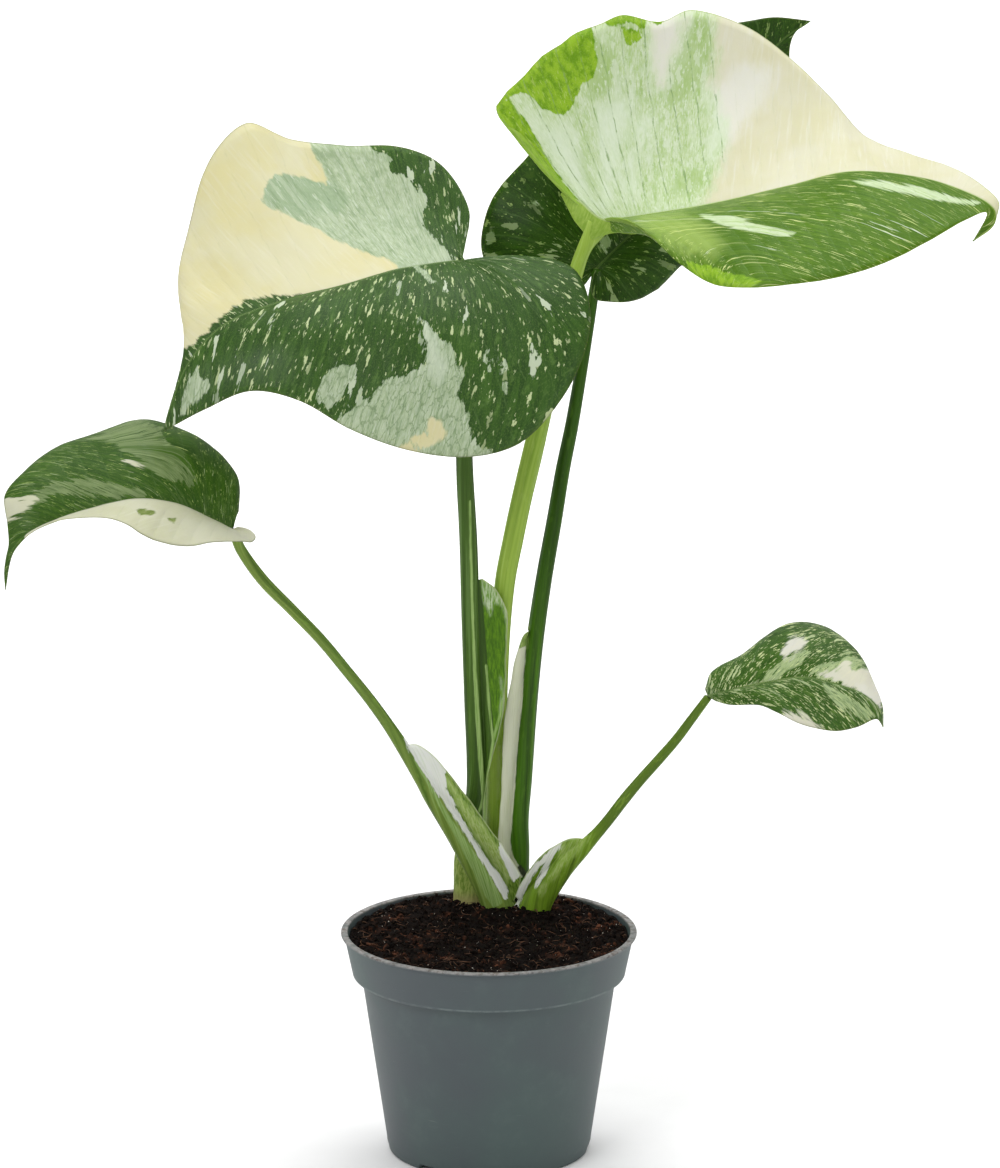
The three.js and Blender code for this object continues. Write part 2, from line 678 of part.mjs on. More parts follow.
// The crown is the buried stem that the petioles stand on. grow gives the tool that clears
// its place in the soil, open to above.
function crownSolid(grow) {
  const r = CROWN_HALF_LENGTH + grow;
  const last = CROWN_SECTION.length - 1;
  const lift = (i) => (i >= last - 1 && grow > 0 ? CLEAR_ABOVE : 0) - (i === 0 ? grow : 0);
  const rows = CROWN_SECTION.map(([inset, z], i) => [r - inset, z + lift(i)]);
  const profile = [[0, rows[0][1]], ...rows, [0, rows[last][1]]];
  const body = lathe(profile.map(([x, z]) => new THREE.Vector2(x, z)), CROWN_SIDES);
  body.scale(1, (CROWN_HALF_DEPTH + grow) / r, 1);
  body.translate(CROWN_CENTRE[0], CROWN_CENTRE[1], 0);
  return toSolid(body);
}

// The soil is heaped towards the crown, with a lumpy top.
function soilHeight(x, y) {
  const away = Math.hypot((x - CROWN_CENTRE[0]) / MOUND_STRETCH, y - CROWN_CENTRE[1]);
  const mound = Math.exp(-((away / MOUND_RADIUS) ** 2));
  const lumps = Math.sin(0.61 * x + 1.3) * Math.sin(0.53 * y + 0.4)
    + 0.7 * Math.sin(0.31 * x - 0.47 * y + 2.1) + 0.6 * Math.sin(1.1 * x + 0.9 * y);
  const nearCrown = THREE.MathUtils.smoothstep(away, LUMPS_FROM, LUMPS_FULL);
  return SOIL_EDGE_Z + (SOIL_CROWN_Z - SOIL_EDGE_Z) * mound + LUMP_HEIGHT * lumps * nearCrown;
}

// The soil fills the pot up to a fit gap from its inner wall.
function soil() {
  const slack = FIT_GAP + SOIL_SLACK;
  const mouth = COLLAR_TOP_RADIUS - WALL - MOUTH_STEP;
  const innerEdge = COLLAR_EDGE_RADIUS - WALL - INNER_EDGE_IN;
  const innerEdgeZ = POT_HEIGHT - COLLAR_DROP + INNER_RISE;
  const lipZ = POT_HEIGHT - LIP_THICKNESS;
  const shelfZ = POT_HEIGHT - COLLAR_DROP - SHELF_DROP - 2 * INNER_RISE;
  const bodyFoot = BODY_FOOT_RADIUS - WALL - slack;
  const floorZ = FLOOR_LIFT + FLOOR_THICKNESS + FIT_GAP;
  const rise = (SOIL_EDGE_Z - innerEdgeZ) / (lipZ - innerEdgeZ);
  const topRadius = innerEdge + (mouth - innerEdge) * rise - slack;
  const builder = new Builder();
  const ringAt = (radius, height) => {
    const ring = [];
    for (let k = 0; k < SOIL_SPOKES; k += 1) {
      const angle = (2 * Math.PI * k) / SOIL_SPOKES;
      const x = radius * Math.cos(angle);
      const y = radius * Math.sin(angle);
      const z = height === null ? soilHeight(x, y) : height;
      ring.push(builder.add(new THREE.Vector3(x, y, z)));
    }
    return ring;
  };
  const rings = [];
  const topCentre = builder.add(new THREE.Vector3(0, 0, soilHeight(0, 0)));
  for (let i = 1; i <= SOIL_RINGS; i += 1) {
    rings.push(ringAt((topRadius * i) / SOIL_RINGS, null));
  }
  rings.push(ringAt(innerEdge - slack, innerEdgeZ + SOIL_SLACK));
  rings.push(ringAt(BODY_TOP_RADIUS - WALL - slack, shelfZ));
  rings.push(ringAt(bodyFoot, floorZ + FLOOR_ROUND_RISE));
  rings.push(ringAt(bodyFoot - FLOOR_ROUND_IN, floorZ));
  const bottomCentre = builder.add(new THREE.Vector3(0, 0, floorZ));
  const last = rings[rings.length - 1];
  for (let k = 0; k < SOIL_SPOKES; k += 1) {
    const n = (k + 1) % SOIL_SPOKES;
    builder.tri(topCentre, rings[0][k], rings[0][n]);
    builder.tri(bottomCentre, last[n], last[k]);
    for (let i = 0; i < rings.length - 1; i += 1) {
      builder.tri(rings[i][k], rings[i + 1][k], rings[i + 1][n]);
      builder.tri(rings[i][k], rings[i + 1][n], rings[i][n]);
    }
  }
  return toGeometry(toSolid(builder.geometry()).subtract(crownSolid(FIT_GAP)));
}

addNode('pot', pot(), 0x525c5c, 0.55);
addNode('soil', soil(), 0x2a1c14, 0.95);
addNode('crown', toGeometry(crownSolid(0)), 0x7c8450, 0.7);
const BLADE_COLOURS = { a: 0x4e6b3c, b: 0xa9bf78, c: 0x35502e, d: 0x566f42, e: 0x6d8452 };
const PETIOLE_COLOURS = { a: 0x4f7a35, b: 0x86ad52, c: 0x3d6430, d: 0x5d8440, e: 0x5d8440 };
for (const [letter, leaf] of Object.entries(LEAVES)) {
  addNode(`petiole_${letter}`, toGeometry(petiole(leaf)), PETIOLE_COLOURS[letter], 0.5);
  addNode(`blade_${letter}`, toGeometry(blade(leaf)), BLADE_COLOURS[letter], 0.4);
}

export default group;
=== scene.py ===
"""Looks of a potted variegated monstera: finer leaves, petioles, soil and pot round the CAD frame.

Lengths are millimetres in the part's own frame. Outlines of markings are x,y pairs in the
photograph's 1000 x 1168 frame. Hues in the tables are sRGB hex codes."""
import math
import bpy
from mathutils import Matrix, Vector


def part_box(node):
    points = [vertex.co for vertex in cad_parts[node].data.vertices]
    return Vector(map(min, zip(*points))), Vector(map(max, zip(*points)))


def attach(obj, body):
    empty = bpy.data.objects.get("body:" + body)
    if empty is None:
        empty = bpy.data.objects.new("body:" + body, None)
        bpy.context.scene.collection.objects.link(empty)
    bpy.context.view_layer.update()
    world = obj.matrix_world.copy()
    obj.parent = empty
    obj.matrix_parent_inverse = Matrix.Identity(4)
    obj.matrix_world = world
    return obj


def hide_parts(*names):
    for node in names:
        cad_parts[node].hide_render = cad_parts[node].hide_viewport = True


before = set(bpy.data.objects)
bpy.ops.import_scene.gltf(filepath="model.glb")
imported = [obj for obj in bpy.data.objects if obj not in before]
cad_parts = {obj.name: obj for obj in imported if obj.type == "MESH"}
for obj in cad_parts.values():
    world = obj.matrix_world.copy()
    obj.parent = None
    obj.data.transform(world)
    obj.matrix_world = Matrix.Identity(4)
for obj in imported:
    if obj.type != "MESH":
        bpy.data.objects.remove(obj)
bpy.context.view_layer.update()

from types import SimpleNamespace

import bpy
import numpy as np
from mathutils import Matrix, Vector, noise

MM = 0.001
RNG = np.random.default_rng(11)

# Camera: a long lens a little above the rim of the pot.
PHOTO_WIDTH = 1000
PHOTO_HEIGHT = 1168
LENS_MM = 190.5
SENSOR_MM = 36.0
CAMERA_PLACE = (4.5, -2400.0, 825.75)
CAMERA_PITCH = math.radians(13.796)

# Pot, from the driving dimensions of the part.
POT_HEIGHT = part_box("pot")[1][2] / MM
LIP_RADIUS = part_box("pot")[1][0] / MM
LIP_THICKNESS = 1.2
COLLAR_TOP_RADIUS = LIP_RADIUS - 1.5
COLLAR_EDGE_RADIUS = 55.4
COLLAR_EDGE_Z = POT_HEIGHT - 17
BODY_TOP_RADIUS = 51.5
BODY_FOOT_RADIUS = 41.5
BODY_FOOT_Z = 4
STEP_IN = 2.5
FOOT_RADIUS = 40.5
WALL = 1.2
FLOOR_LIFT = 2.4
FLOOR_TOP = FLOOR_LIFT + 1.4
FOOT_RING_WIDTH = 3
PAD_RADIUS = 12
NOTCH_ANGLES = [math.radians(a) for a in (-122, -2, 118)]
NOTCH_HALF_ANGLE = math.radians(10.9)
DRAIN_RADIUS = 3.2
DRAIN_CIRCLE = 27
# Middle and length of the cylinders that cut the drain holes.
CUTTER_Z = 3
CUTTER_LENGTH = 12
POT_SEGMENTS = 198

# Soil.
SOIL_EDGE_Z = 88.5
SOIL_CROWN_Z = 92.0
SOIL_RADIUS = 56.4
SOIL_FLOOR_Z = FLOOR_TOP + 0.3
SOIL_SPOKES = 260
SOIL_RINGS = 90
CRUMB_REACH = 55.8
CLOD_REACH = 56.0
FIBRE_REACH = 55.6
FIBRE_RINGS = 7
# The heap at the crown. Its soil is smooth, and turns lumpy between two distances from it. The
# extra soil that dresses it thins out between two others.
HEAP_CENTRE = (6.0, 35.0)
HEAP_WIDTH = 28
LUMPS_FROM = (11, 18)
EXTRA_TO = (11, 22)
LUMP_HEIGHT = 0.45
ROUGHNESS_HEIGHT = 0.75
DRESSING = 1.2

# Leaves and petioles.
BLADE_THICKNESS = 0.42
KEEL_DEPTH = 1.5
# Lines of the points on a midrib: far from the margin and half way between two veins.
MIDRIB_LINES = (0, 20, 0.5, 10)
NO_BULGE = (0, 0, 0)
# The grain of a blade's near half is counted from here, and the materials tell it from the far
# half between these bounds.
NEAR_GRAIN = 400
NEAR_BOUNDS = (300, 350)
# Half of the angle round a petiole that the root of its sheath takes up.
SHEATH_ROOT = math.radians(22)
STALK_SIDES = 34
STALK_RINGS = 220
FLAP_STEPS = np.linspace(0, 1, 16)
COLLAR_THICKNESS = 0.5
COLLAR_ROWS = 60
COLLAR_ROW_GAP = 0.6
COLLAR_STEPS = 13
COLLAR_BOW = np.array([0, -0.72, -0.24])
# Depth inside a marking is held within this many pixels.
MARK_REACH = 30.0
# An outline well outside the photograph on every side.
WHOLE_PHOTO = "-500,-500 1500,-500 1500,1700 -500,1700"


# Splines.
def path_length(points):
    return np.linalg.norm(np.diff(np.asarray(points, float)[:, :3], axis=0), axis=1).sum()


def chord_keys(points):
    points = np.asarray(points, float)[:, :3]
    steps = np.linalg.norm(np.diff(points, axis=0), axis=1)
    keys = np.concatenate([[0.0], np.cumsum(steps)])
    return keys / keys[-1]


def spline(rows, keys, x):
    """Cubic through rows of numbers at rising keys."""
    rows = np.asarray(rows, float)
    x = np.atleast_1d(np.asarray(x, float))
    h = np.diff(keys)
    slope = np.diff(rows, axis=0) / h[:, None]
    tangent = np.empty_like(rows)
    tangent[0], tangent[-1] = slope[0], slope[-1]
    weights = (h[:-1] + h[1:])[:, None]
    tangent[1:-1] = (slope[:-1] * h[:-1, None] + slope[1:] * h[1:, None]) / weights
    i = np.clip(np.searchsorted(keys, x, side="right") - 1, 0, len(h) - 1)
    s = ((x - keys[i]) / h[i])[:, None]
    step = h[i][:, None]
    return (
        (2 * s**3 - 3 * s**2 + 1) * rows[i]
        + (s**3 - 2 * s**2 + s) * step * tangent[i]
        + (-2 * s**3 + 3 * s**2) * rows[i + 1]
        + (s**3 - s**2) * step * tangent[i + 1]
    )


def smooth(x, low, high):
    s = np.clip((x - low) / (high - low), 0, 1)
    return s * s * (3 - 2 * s)


def ridge(gap, width):
    """1 on a line, falling off with the distance from it."""
    return np.exp(-((gap / width) ** 2))


# The photograph's view, used to place markings and the camera.
def to_photo(points):
    forward = np.array([0, math.cos(CAMERA_PITCH), -math.sin(CAMERA_PITCH)])
    up = np.array([0, math.sin(CAMERA_PITCH), math.cos(CAMERA_PITCH)])
    rays = points - np.array(CAMERA_PLACE)
    scale = LENS_MM / SENSOR_MM * PHOTO_HEIGHT / (rays @ forward)
    x = PHOTO_WIDTH / 2 + scale * rays[:, 0]
    y = PHOTO_HEIGHT / 2 - scale * (rays @ up)
    return np.stack([x, y], 1)


def depth_inside(pixels, outline):
    """Distance in pixels from each point to the outline, positive inside it."""
    ring = np.array([pair.split(",") for pair in outline.split()], float)
    best = np.full(len(pixels), np.inf)
    inside = np.zeros(len(pixels), bool)
    for a, b in zip(ring, np.roll(ring, -1, axis=0)):
        edge = b - a
        t = np.clip(((pixels - a) @ edge) / max(edge @ edge, 1e-9), 0, 1)
        best = np.minimum(best, np.linalg.norm(pixels - a - t[:, None] * edge, axis=1))
        crosses = (a[1] > pixels[:, 1]) != (b[1] > pixels[:, 1])
        if edge[1]:
            at = a[0] + (pixels[:, 1] - a[1]) * edge[0] / edge[1]
            inside ^= crosses & (pixels[:, 0] < at)
    return np.where(inside, best, -best)


def painted(pixels, markings, kinds):
    """Depth inside the nearest outline of each kind of marking, one column for each kind."""
    fields = np.full((len(pixels), len(kinds)), -MARK_REACH)
    for column, kind in enumerate(kinds):
        for outline in markings.get(kind, []):
            fields[:, column] = np.maximum(fields[:, column], depth_inside(pixels, outline))
    return np.minimum(fields, MARK_REACH)


# Meshes.
def make_object(name, points, faces, material, attributes=None, rounded=True):
    mesh = bpy.data.meshes.new(name)
    mesh.from_pydata((np.asarray(points) * MM).tolist(), [], [list(map(int, f)) for f in faces])
    mesh.update()
    for key, values in (attributes or {}).items():
        layer = mesh.attributes.new(key, "FLOAT_VECTOR", "POINT")
        layer.data.foreach_set("vector", np.asarray(values, float).ravel())
    mesh.polygons.foreach_set("use_smooth", [rounded] * len(mesh.polygons))
    mesh.materials.append(material)
    obj = bpy.data.objects.new(name, mesh)
    bpy.context.scene.collection.objects.link(obj)
    return obj


def vertex_normals(points, surfaces):
    """Area weighted normals of a surface of quads and triangles."""
    normals = np.zeros_like(points)
    for face in surfaces:
        a, b, c = (points[face[:, k]] for k in (0, 1, 2))
        area = np.cross(b - a, c - a)
        if face.shape[1] == 4:
            area = area + np.cross(c - a, points[face[:, 3]] - a)
        for k in range(face.shape[1]):
            np.add.at(normals, face[:, k], area)
    return normals / np.maximum(np.linalg.norm(normals, axis=1, keepdims=True), 1e-12)


def sheet_faces(surfaces, loop, count):
    """A surface, its copy on the other side turned over, and the wall along the margin."""
    faces = [face for surface in surfaces for face in surface.tolist()]
    faces += [face for surface in surfaces for face in (surface[:, ::-1] + count).tolist()]
    return faces + [(b, a, a + count, b + count) for a, b in zip(loop, np.roll(loop, -1))]


def grid_quads(ids):
    """Quads between the rows of a grid of vertex numbers."""
    quads = np.stack([ids[:-1, :-1], ids[:-1, 1:], ids[1:, 1:], ids[1:, :-1]], -1)
    return quads.reshape(-1, 4)


# Leaves. Each half lists margin stations: the share of the midrib where the vein starts, the
# margin point, and the bulge of the vein where there is one. lean turns the grain of the far
# and the near half to the tip.
LEAVES = {
    "a": dict(
        spacing=1.5, columns=30, veins=22, lean=(0.3, 0.45),
        midrib=[(-11, 20, 364), (-19, 16, 364), (-35, 8, 363), (-59, 2, 357), (-82, -4, 352),
                (-104, -10, 344), (-118, -17, 330), (-125, -22, 314), (-128, -24, 304)],
        far=[(0, -9, 27, 371), (0, -8, 38, 382, 0, 0, -1), (0, -19, 52, 397, 0, 0, -3),
             (0.06, -36, 60, 403, 0, 0, -4), (0.15, -58, 64, 403, 0, 0, -5),
             (0.27, -80, 66, 405, 0, 0, -5), (0.4, -98, 64, 412, 0, 0, -4),
             (0.5, -113, 54, 397, -2, 0, -2), (0.6, -121, 36, 371, -3, 0, 0),
             (0.7, -124, 16, 353, -3, 0, 2), (0.84, -119, -8, 334, -1, 0, 1)],
        near=[(0, -1, 20, 364), (0, 14, 18, 366), (0, 33, 12, 363, 0, 0, 3),
              (0, 40, -2, 350, 0, -2, 7), (0, 38, -16, 335, 0, -4, 10),
              (0, 29, -26, 318, 0, -5, 12), (0.04, 13, -34, 302, 0, -6, 12),
              (0.12, -7, -38, 297, 0, -7, 12), (0.22, -31, -40, 300, 0, -7, 12),
              (0.34, -54, -38, 308, 0, -6, 10), (0.46, -74, -36, 319, 0, -5, 8),
              (0.6, -93, -32, 322, 0, -3, 5), (0.78, -111, -28, 314, 0, -1, 2)],
    ),
    "b": dict(
        spacing=1.5, columns=34, veins=36, lean=(0.2, 1.5),
        midrib=[(44, 30, 378), (64, 26, 381.5), (92, 20, 387.6), (119, 14, 395.2), (143, 8, 402),
                (170, 0, 401), (189, -8, 396), (198, -14, 391), (198, -15, 385), (190, -13, 378)],
        far=[(0, 40, 34, 379), (0, 35, 38, 383, 0, 0, -1), (0, 29, 44, 392, 0, 0, -2),
             (0, 13, 50, 410, 0, 0, -3), (0, 5.4, 52.4, 414.5, 0, 1, -3),
             (0, 3, 55.6, 420.5, 0, 2, -4), (0.005, 6.4, 58.4, 425, 0, 2, -4),
             (0.02, 13.6, 62, 431, 0, 3, -5), (0.035, 21, 65.6, 438.8, 0, 3, -5),
             (0.05, 29, 68.6, 443.4, 0, 4, -6), (0.07, 34.6, 71, 447.4, 0, 4, -6),
             (0.09, 45, 74.4, 450.8, 0, 4, -6), (0.12, 54, 77, 454, 0, 4, -7),
             (0.2, 69, 80.4, 450.8, 0, 4, -7), (0.27, 82, 84, 455, 0, 4, -7),
             (0.36, 104, 79, 449, 0, 4, -6), (0.45, 121, 70, 438, 0, 3, -5),
             (0.55, 137, 56, 424, 0, 2, -3), (0.64, 150, 42, 411, 0, 1, -2),
             (0.72, 167, 26, 406, 0, 0, -1), (0.79, 182, 10, 404), (0.85, 195, -4, 398),
             (0.94, 200, -14, 392)],
        near=[(0, 49, 22, 375, 0, 0, 1), (0, 57, 10, 377, 0, 0, 2), (0, 64, -6, 378, 0, 0, 4),
              (0, 75, -24, 371, 0, 0, 6), (0.04, 87, -38, 366, 0, 0, 7),
              (0.12, 99, -46, 366, 0, 0, 7), (0.25, 117, -50, 368, 0, 0, 7),
              (0.4, 136, -50, 371, 0, 0, 6), (0.54, 155, -44, 376, 0, 0, 5),
              (0.66, 172, -36, 383, 0, 0, 3), (0.78, 186, -26, 389, 0, 0, 1),
              (0.9, 195, -17, 390)],
    ),
    "c": dict(
        spacing=1.8, columns=24, veins=20, lean=(0.3, 0.3),
        midrib=[(44, 58, 354), (61, 70, 369), (82, 84, 391), (102, 98, 418), (118, 108, 437),
                (132, 114, 446)],
        far=[(0, 39, 58, 347), (0, 29, 58, 341, 0, 0, 1), (0, 13, 58, 342, 0, -2, 2),
             (0, -1, 60, 355, 0, -3, 3), (0, -3, 62, 366, 0, -4, 4), (0, 2, 66, 382, 0, -4, 4),
             (0.04, 16, 74, 397, 0, -4, 4), (0.14, 35, 84, 418, 0, -4, 4),
             (0.32, 61, 94, 436, 0, -4, 4), (0.55, 86, 102, 444, 0, -3, 3),
             (0.75, 106, 107, 447, 0, -2, 1), (0.88, 117, 111, 448)],
        near=[(0, 42.4, 54.5, 352), (0, 41.4, 52.6, 346, 0, 0, 1), (0, 43, 52.6, 342, 0, 0, 1),
              (0, 48.6, 54, 340.6, 0, -1, 2), (0, 55.6, 56.4, 340, 0, -1, 2),
              (0, 62.4, 60, 341, 0, -2, 3), (0.01, 68.4, 64, 343.6, 0, -2, 3),
              (0.03, 73.4, 68, 348, 0, -3, 4), (0.08, 79, 73, 352.4, 0, -3, 4),
              (0.15, 89, 79, 356, 0, -4, 4), (0.22, 101, 84, 360, 0, -4, 4),
              (0.3, 116, 92, 370, 0, -4, 4), (0.48, 125, 100, 391, 0, -3, 3),
              (0.68, 126, 106, 415, 0, -2, 2), (0.82, 123, 109, 432), (0.9, 125, 111, 441)],
    ),
    "d": dict(
        spacing=1.0, columns=26, veins=18, lean=(1.5, 0.6),
        midrib=[(-101, -22, 264), (-108, -24, 268), (-123, -29, 276), (-139, -34, 279),
                (-159, -38.5, 275.4), (-170.6, -43.5, 272.5), (-178.2, -47, 269.7),
                (-183.1, -49.5, 266.3), (-185.8, -51, 263), (-187.4, -52.5, 259),
                (-188.4, -53.5, 253.6), (-188.9, -54, 247.3)],
        far=[(0, -99, -16, 270, 0, 0, 1), (0, -99, -8, 278, 0, 0, 3),
             (0.02, -101, -3, 283, 0, 0, 4), (0.06, -109, 3, 291, 0, 0, 5),
             (0.13, -121, 8, 298, 0, -2, 6), (0.25, -138, 10, 302, 0, -2, 7),
             (0.4, -155, 4, 298, 0, -2, 6), (0.54, -172, -10, 294, 0, -1, 5),
             (0.66, -185, -28, 287, 0, 0, 4), (0.72, -190, -37, 281, 0, 0, 2),
             (0.78, -188.6, -42, 271), (0.84, -187.8, -47, 264.1), (0.89, -188.6, -51, 259.8),
             (0.95, -189.3, -53, 254.3)],
        near=[(0, -97.6, -27, 265, 0, 0, 1), (0, -93.4, -33, 266, 0, 0, 1),
              (0, -91.4, -39, 265, 0, 0, 1), (0, -93, -44, 264.2, 0, 0, 1),
              (0, -97, -48, 265.6, 0, 0, 1), (0.03, -107.5, -53, 266.3, 0, 0, 2),
              (0.12, -118, -57.5, 265.4, 0, 0, 2), (0.22, -129, -61, 268.4, 0, 0, 1),
              (0.29, -134.6, -62, 271.3, 0, 0, 1), (0.36, -140.4, -61, 275),
              (0.43, -147, -59, 276.6), (0.52, -155.1, -55, 276.3), (0.62, -166.4, -52, 274.9),
              (0.7, -172.6, -51, 272.7), (0.77, -178.6, -51, 269.4), (0.83, -182.5, -52, 266),
              (0.89, -185.6, -53, 261.9), (0.93, -187.2, -53.6, 256.8),
              (0.97, -188.2, -54, 251.3)],
    ),
    "e": dict(
        spacing=1.0, columns=24, veins=16, lean=(0.7, 0.7),
        midrib=[(88, 0, 190), (99, -4, 194), (113, -8, 198), (126, -13, 201), (140, -18, 199),
                (150, -22, 196), (156, -24, 190), (157, -25, 184)],
        far=[(0, 87, 4, 192), (0, 90, 9, 198, 0, 0, 2), (0.06, 103, 16, 204, 0, 0, 3),
             (0.14, 112, 22, 209, 0, 0, 4), (0.26, 120, 26, 213, 0, 0, 5),
             (0.38, 127, 27, 214, 0, 0, 5), (0.5, 136, 23, 213, 0, 0, 5),
             (0.62, 144, 14, 210, 0, 0, 4), (0.74, 150, 4, 205, 0, 0, 3),
             (0.84, 154, -10, 198, 0, 0, 1), (0.93, 157, -20, 191)],
        near=[(0, 91, -4, 189), (0, 97, -10, 189, 0, 0, 1), (0.08, 108, -18, 191, 0, 0, 2),
              (0.2, 115, -26, 190, 0, 0, 3), (0.34, 124, -32, 187, 0, 0, 3),
              (0.52, 137, -35, 185, 0, 0, 3), (0.7, 146, -33, 186, 0, 0, 2),
              (0.86, 154, -28, 188, 0, 0, 1)],
    ),
}

# Petioles: stations are (x, y, z, half width, half depth). Sheath rows are (share along the
# petiole, free edge point). side is 1 where the sheath opens towards +X, and -1 towards -X.
PETIOLES = {
    "a": dict(
        side=1, bow=1.6,
        stations=[(-8, 36, 88, 7, 5), (-8, 36, 100, 6.7, 4.8), (-7.9, 35.5, 113, 6.4, 4.4),
                  (-5.8, 34.5, 130, 4.9, 3.8), (-5, 34, 146, 4.2, 3.4),
                  (-6.3, 33, 180, 3.9, 3.1), (-7.5, 31, 214, 3.7, 3),
                  (-8.4, 27.5, 248, 3.6, 2.9), (-9.8, 23, 278, 3.4, 2.7),
                  (-10.5, 21.5, 320, 2.9, 2.4), (-11, 20, 352, 2.5, 2.1),
                  (-11, 20, 363.5, 2.2, 1.9)],
        sheath=[(0.11, -2.5, 31, 119), (0.175, -2.4, 31, 137), (0.22, -0.4, 30, 149),
                (0.275, 3.4, 30, 164), (0.315, 5.8, 30, 174), (0.36, 6.8, 30, 188),
                (0.42, 7.3, 30, 205), (0.448, 7.6, 30, 214.9), (0.472, 6.5, 30, 220.3),
                (0.487, 4.7, 30, 224.1), (0.498, 2.5, 30, 227.4), (0.507, -0.4, 30, 229.6),
                (0.515, -3.2, 30, 231.6)],
    ),
    "b": dict(
        side=1, bow=0,
        stations=[(3, 42, 88, 4.6, 3.4), (2.6, 42, 112, 4.3, 3.2), (2.8, 41.5, 140, 4.1, 3.1),
                  (3.2, 40, 170, 4, 3), (4.4, 38.2, 205, 4, 3), (6.5, 37, 229, 4.1, 3.1),
                  (9.6, 35.4, 246, 4.15, 3.2), (13, 34, 263, 4.1, 3.2), (18, 33, 285, 4.1, 3.2),
                  (29, 32, 334, 3.4, 2.9), (35.6, 31, 360, 2.9, 2.7), (38.6, 30.4, 368, 3, 2.7),
                  (42.4, 29.6, 374.5, 4.2, 2.6), (43.6, 29.8, 376.8, 4.6, 2.4)],
        sheath=[],
    ),
    "c": dict(
        side=-1, bow=1.2,
        stations=[(12, 40, 88, 4.2, 3.6), (12.6, 40.6, 114, 4.1, 3.6), (12.5, 41, 127, 3.9, 3.5),
                  (13.9, 41.2, 143.6, 3.8, 3.4), (16.4, 42, 177.3, 3.6, 3.2),
                  (18.9, 43, 202.4, 3.5, 3.1), (22.4, 45, 227.1, 3.3, 3),
                  (26.7, 48.4, 251.4, 3.1, 2.8), (30.1, 52, 271.4, 2.9, 2.6),
                  (34, 54, 291, 2.7, 2.4), (40.4, 57, 330, 2.3, 2.1), (44, 58, 353.5, 1.9, 1.7)],
        sheath=[(0.02, 7, 35, 94), (0.06, 4.4, 35, 105), (0.1, 3.6, 36, 115),
                (0.15, 4.2, 36, 128), (0.21, 5.2, 36, 145), (0.27, 5.6, 36, 162),
                (0.32, 6.8, 37, 174), (0.375, 9.2, 37, 188), (0.41, 11.6, 37.6, 199),
                (0.43, 14, 38.6, 205.5), (0.438, 17, 40, 207.5)],
    ),
    "d": dict(
        side=1, bow=1.6,
        stations=[(6, 29, 88, 7, 4.6), (0.8, 27.4, 101, 6.4, 4.6), (-11.4, 22.4, 124, 5, 4.1),
                  (-22.4, 17, 143, 3.9, 3.4), (-27, 14, 152, 3.4, 3),
                  (-39.3, 8.5, 173.7, 2.4, 2.3), (-47.8, 4.5, 187.3, 2.2, 2.1),
                  (-57.3, 0, 200.9, 2.15, 2.1), (-67.1, -4.5, 214.5, 2.15, 2.1),
                  (-78.4, -9.5, 228.1, 2.2, 2.1), (-89.8, -15.5, 241.9, 2.3, 2.1),
                  (-98.1, -19, 255, 2.1, 1.9), (-101, -22, 263.5, 1.8, 1.6)],
        sheath=[(0.03, 10, 26, 96), (0.07, 12.6, 25, 103), (0.11, 12.4, 24, 109),
                (0.15, 8.6, 22, 116), (0.19, 4.4, 21, 123), (0.24, -2.2, 19.6, 133),
                (0.285, -8.4, 18.2, 142.4), (0.33, -15, 17.6, 151.4), (0.36, -19.4, 17, 157.2),
                (0.385, -24.4, 16, 162.8), (0.405, -29, 14.8, 165.9), (0.424, -33.4, 13, 166.3)],
    ),
    "e": dict(
        side=-1, bow=1.3,
        stations=[(16, 28, 88, 7.6, 4.4), (20.6, 26.6, 98, 6.4, 4.4), (29.4, 23, 111, 4.8, 3.8),
                  (37.3, 20.6, 119.6, 3.4, 3.1), (43.4, 18.4, 126.7, 2.4, 2.4),
                  (48.6, 16.6, 133.6, 2.2, 2.2), (54.8, 14.4, 142.7, 2.2, 2.1),
                  (61.4, 12, 151.7, 2.05, 2), (68.6, 9, 161, 2, 1.9), (75.5, 6, 170.2, 1.9, 1.8),
                  (81.4, 3, 179.3, 1.8, 1.6), (88, 0, 189.5, 1.6, 1.4)],
        sheath=[(0.05, 10.6, 25, 98), (0.09, 13, 24, 104.6), (0.14, 17, 23, 111.4),
                (0.19, 21.6, 22, 117.4), (0.24, 27, 21.4, 121.4), (0.285, 31.6, 20.4, 124.2),
                (0.32, 35.4, 19.5, 125.1), (0.345, 38.4, 19, 125), (0.36, 40.4, 18.8, 125.4)],
    ),
}

# The base of leaf B wraps the top of its petiole as a thin lip: (lower, upper) edge points.
COLLAR_B = [
    ((28.9, 42, 387), (30, 43, 389)), ((31.7, 37, 382.2), (33.3, 38.4, 386.5)),
    ((34.1, 33, 378.1), (37.3, 35, 384.8)), ((36.9, 30.4, 375), (40.2, 31.2, 382.6)),
    ((39.2, 28.4, 372.6), (43.4, 28, 380.6)), ((41.6, 27.2, 371.4), (46.6, 25, 379.7)),
    ((44.4, 26.6, 372.6), (50.6, 22, 379.2)), ((49.1, 22, 374.8), (55.4, 17, 378.6)),
    ((55.3, 14.5, 376.2), (60, 11.5, 377)),
]
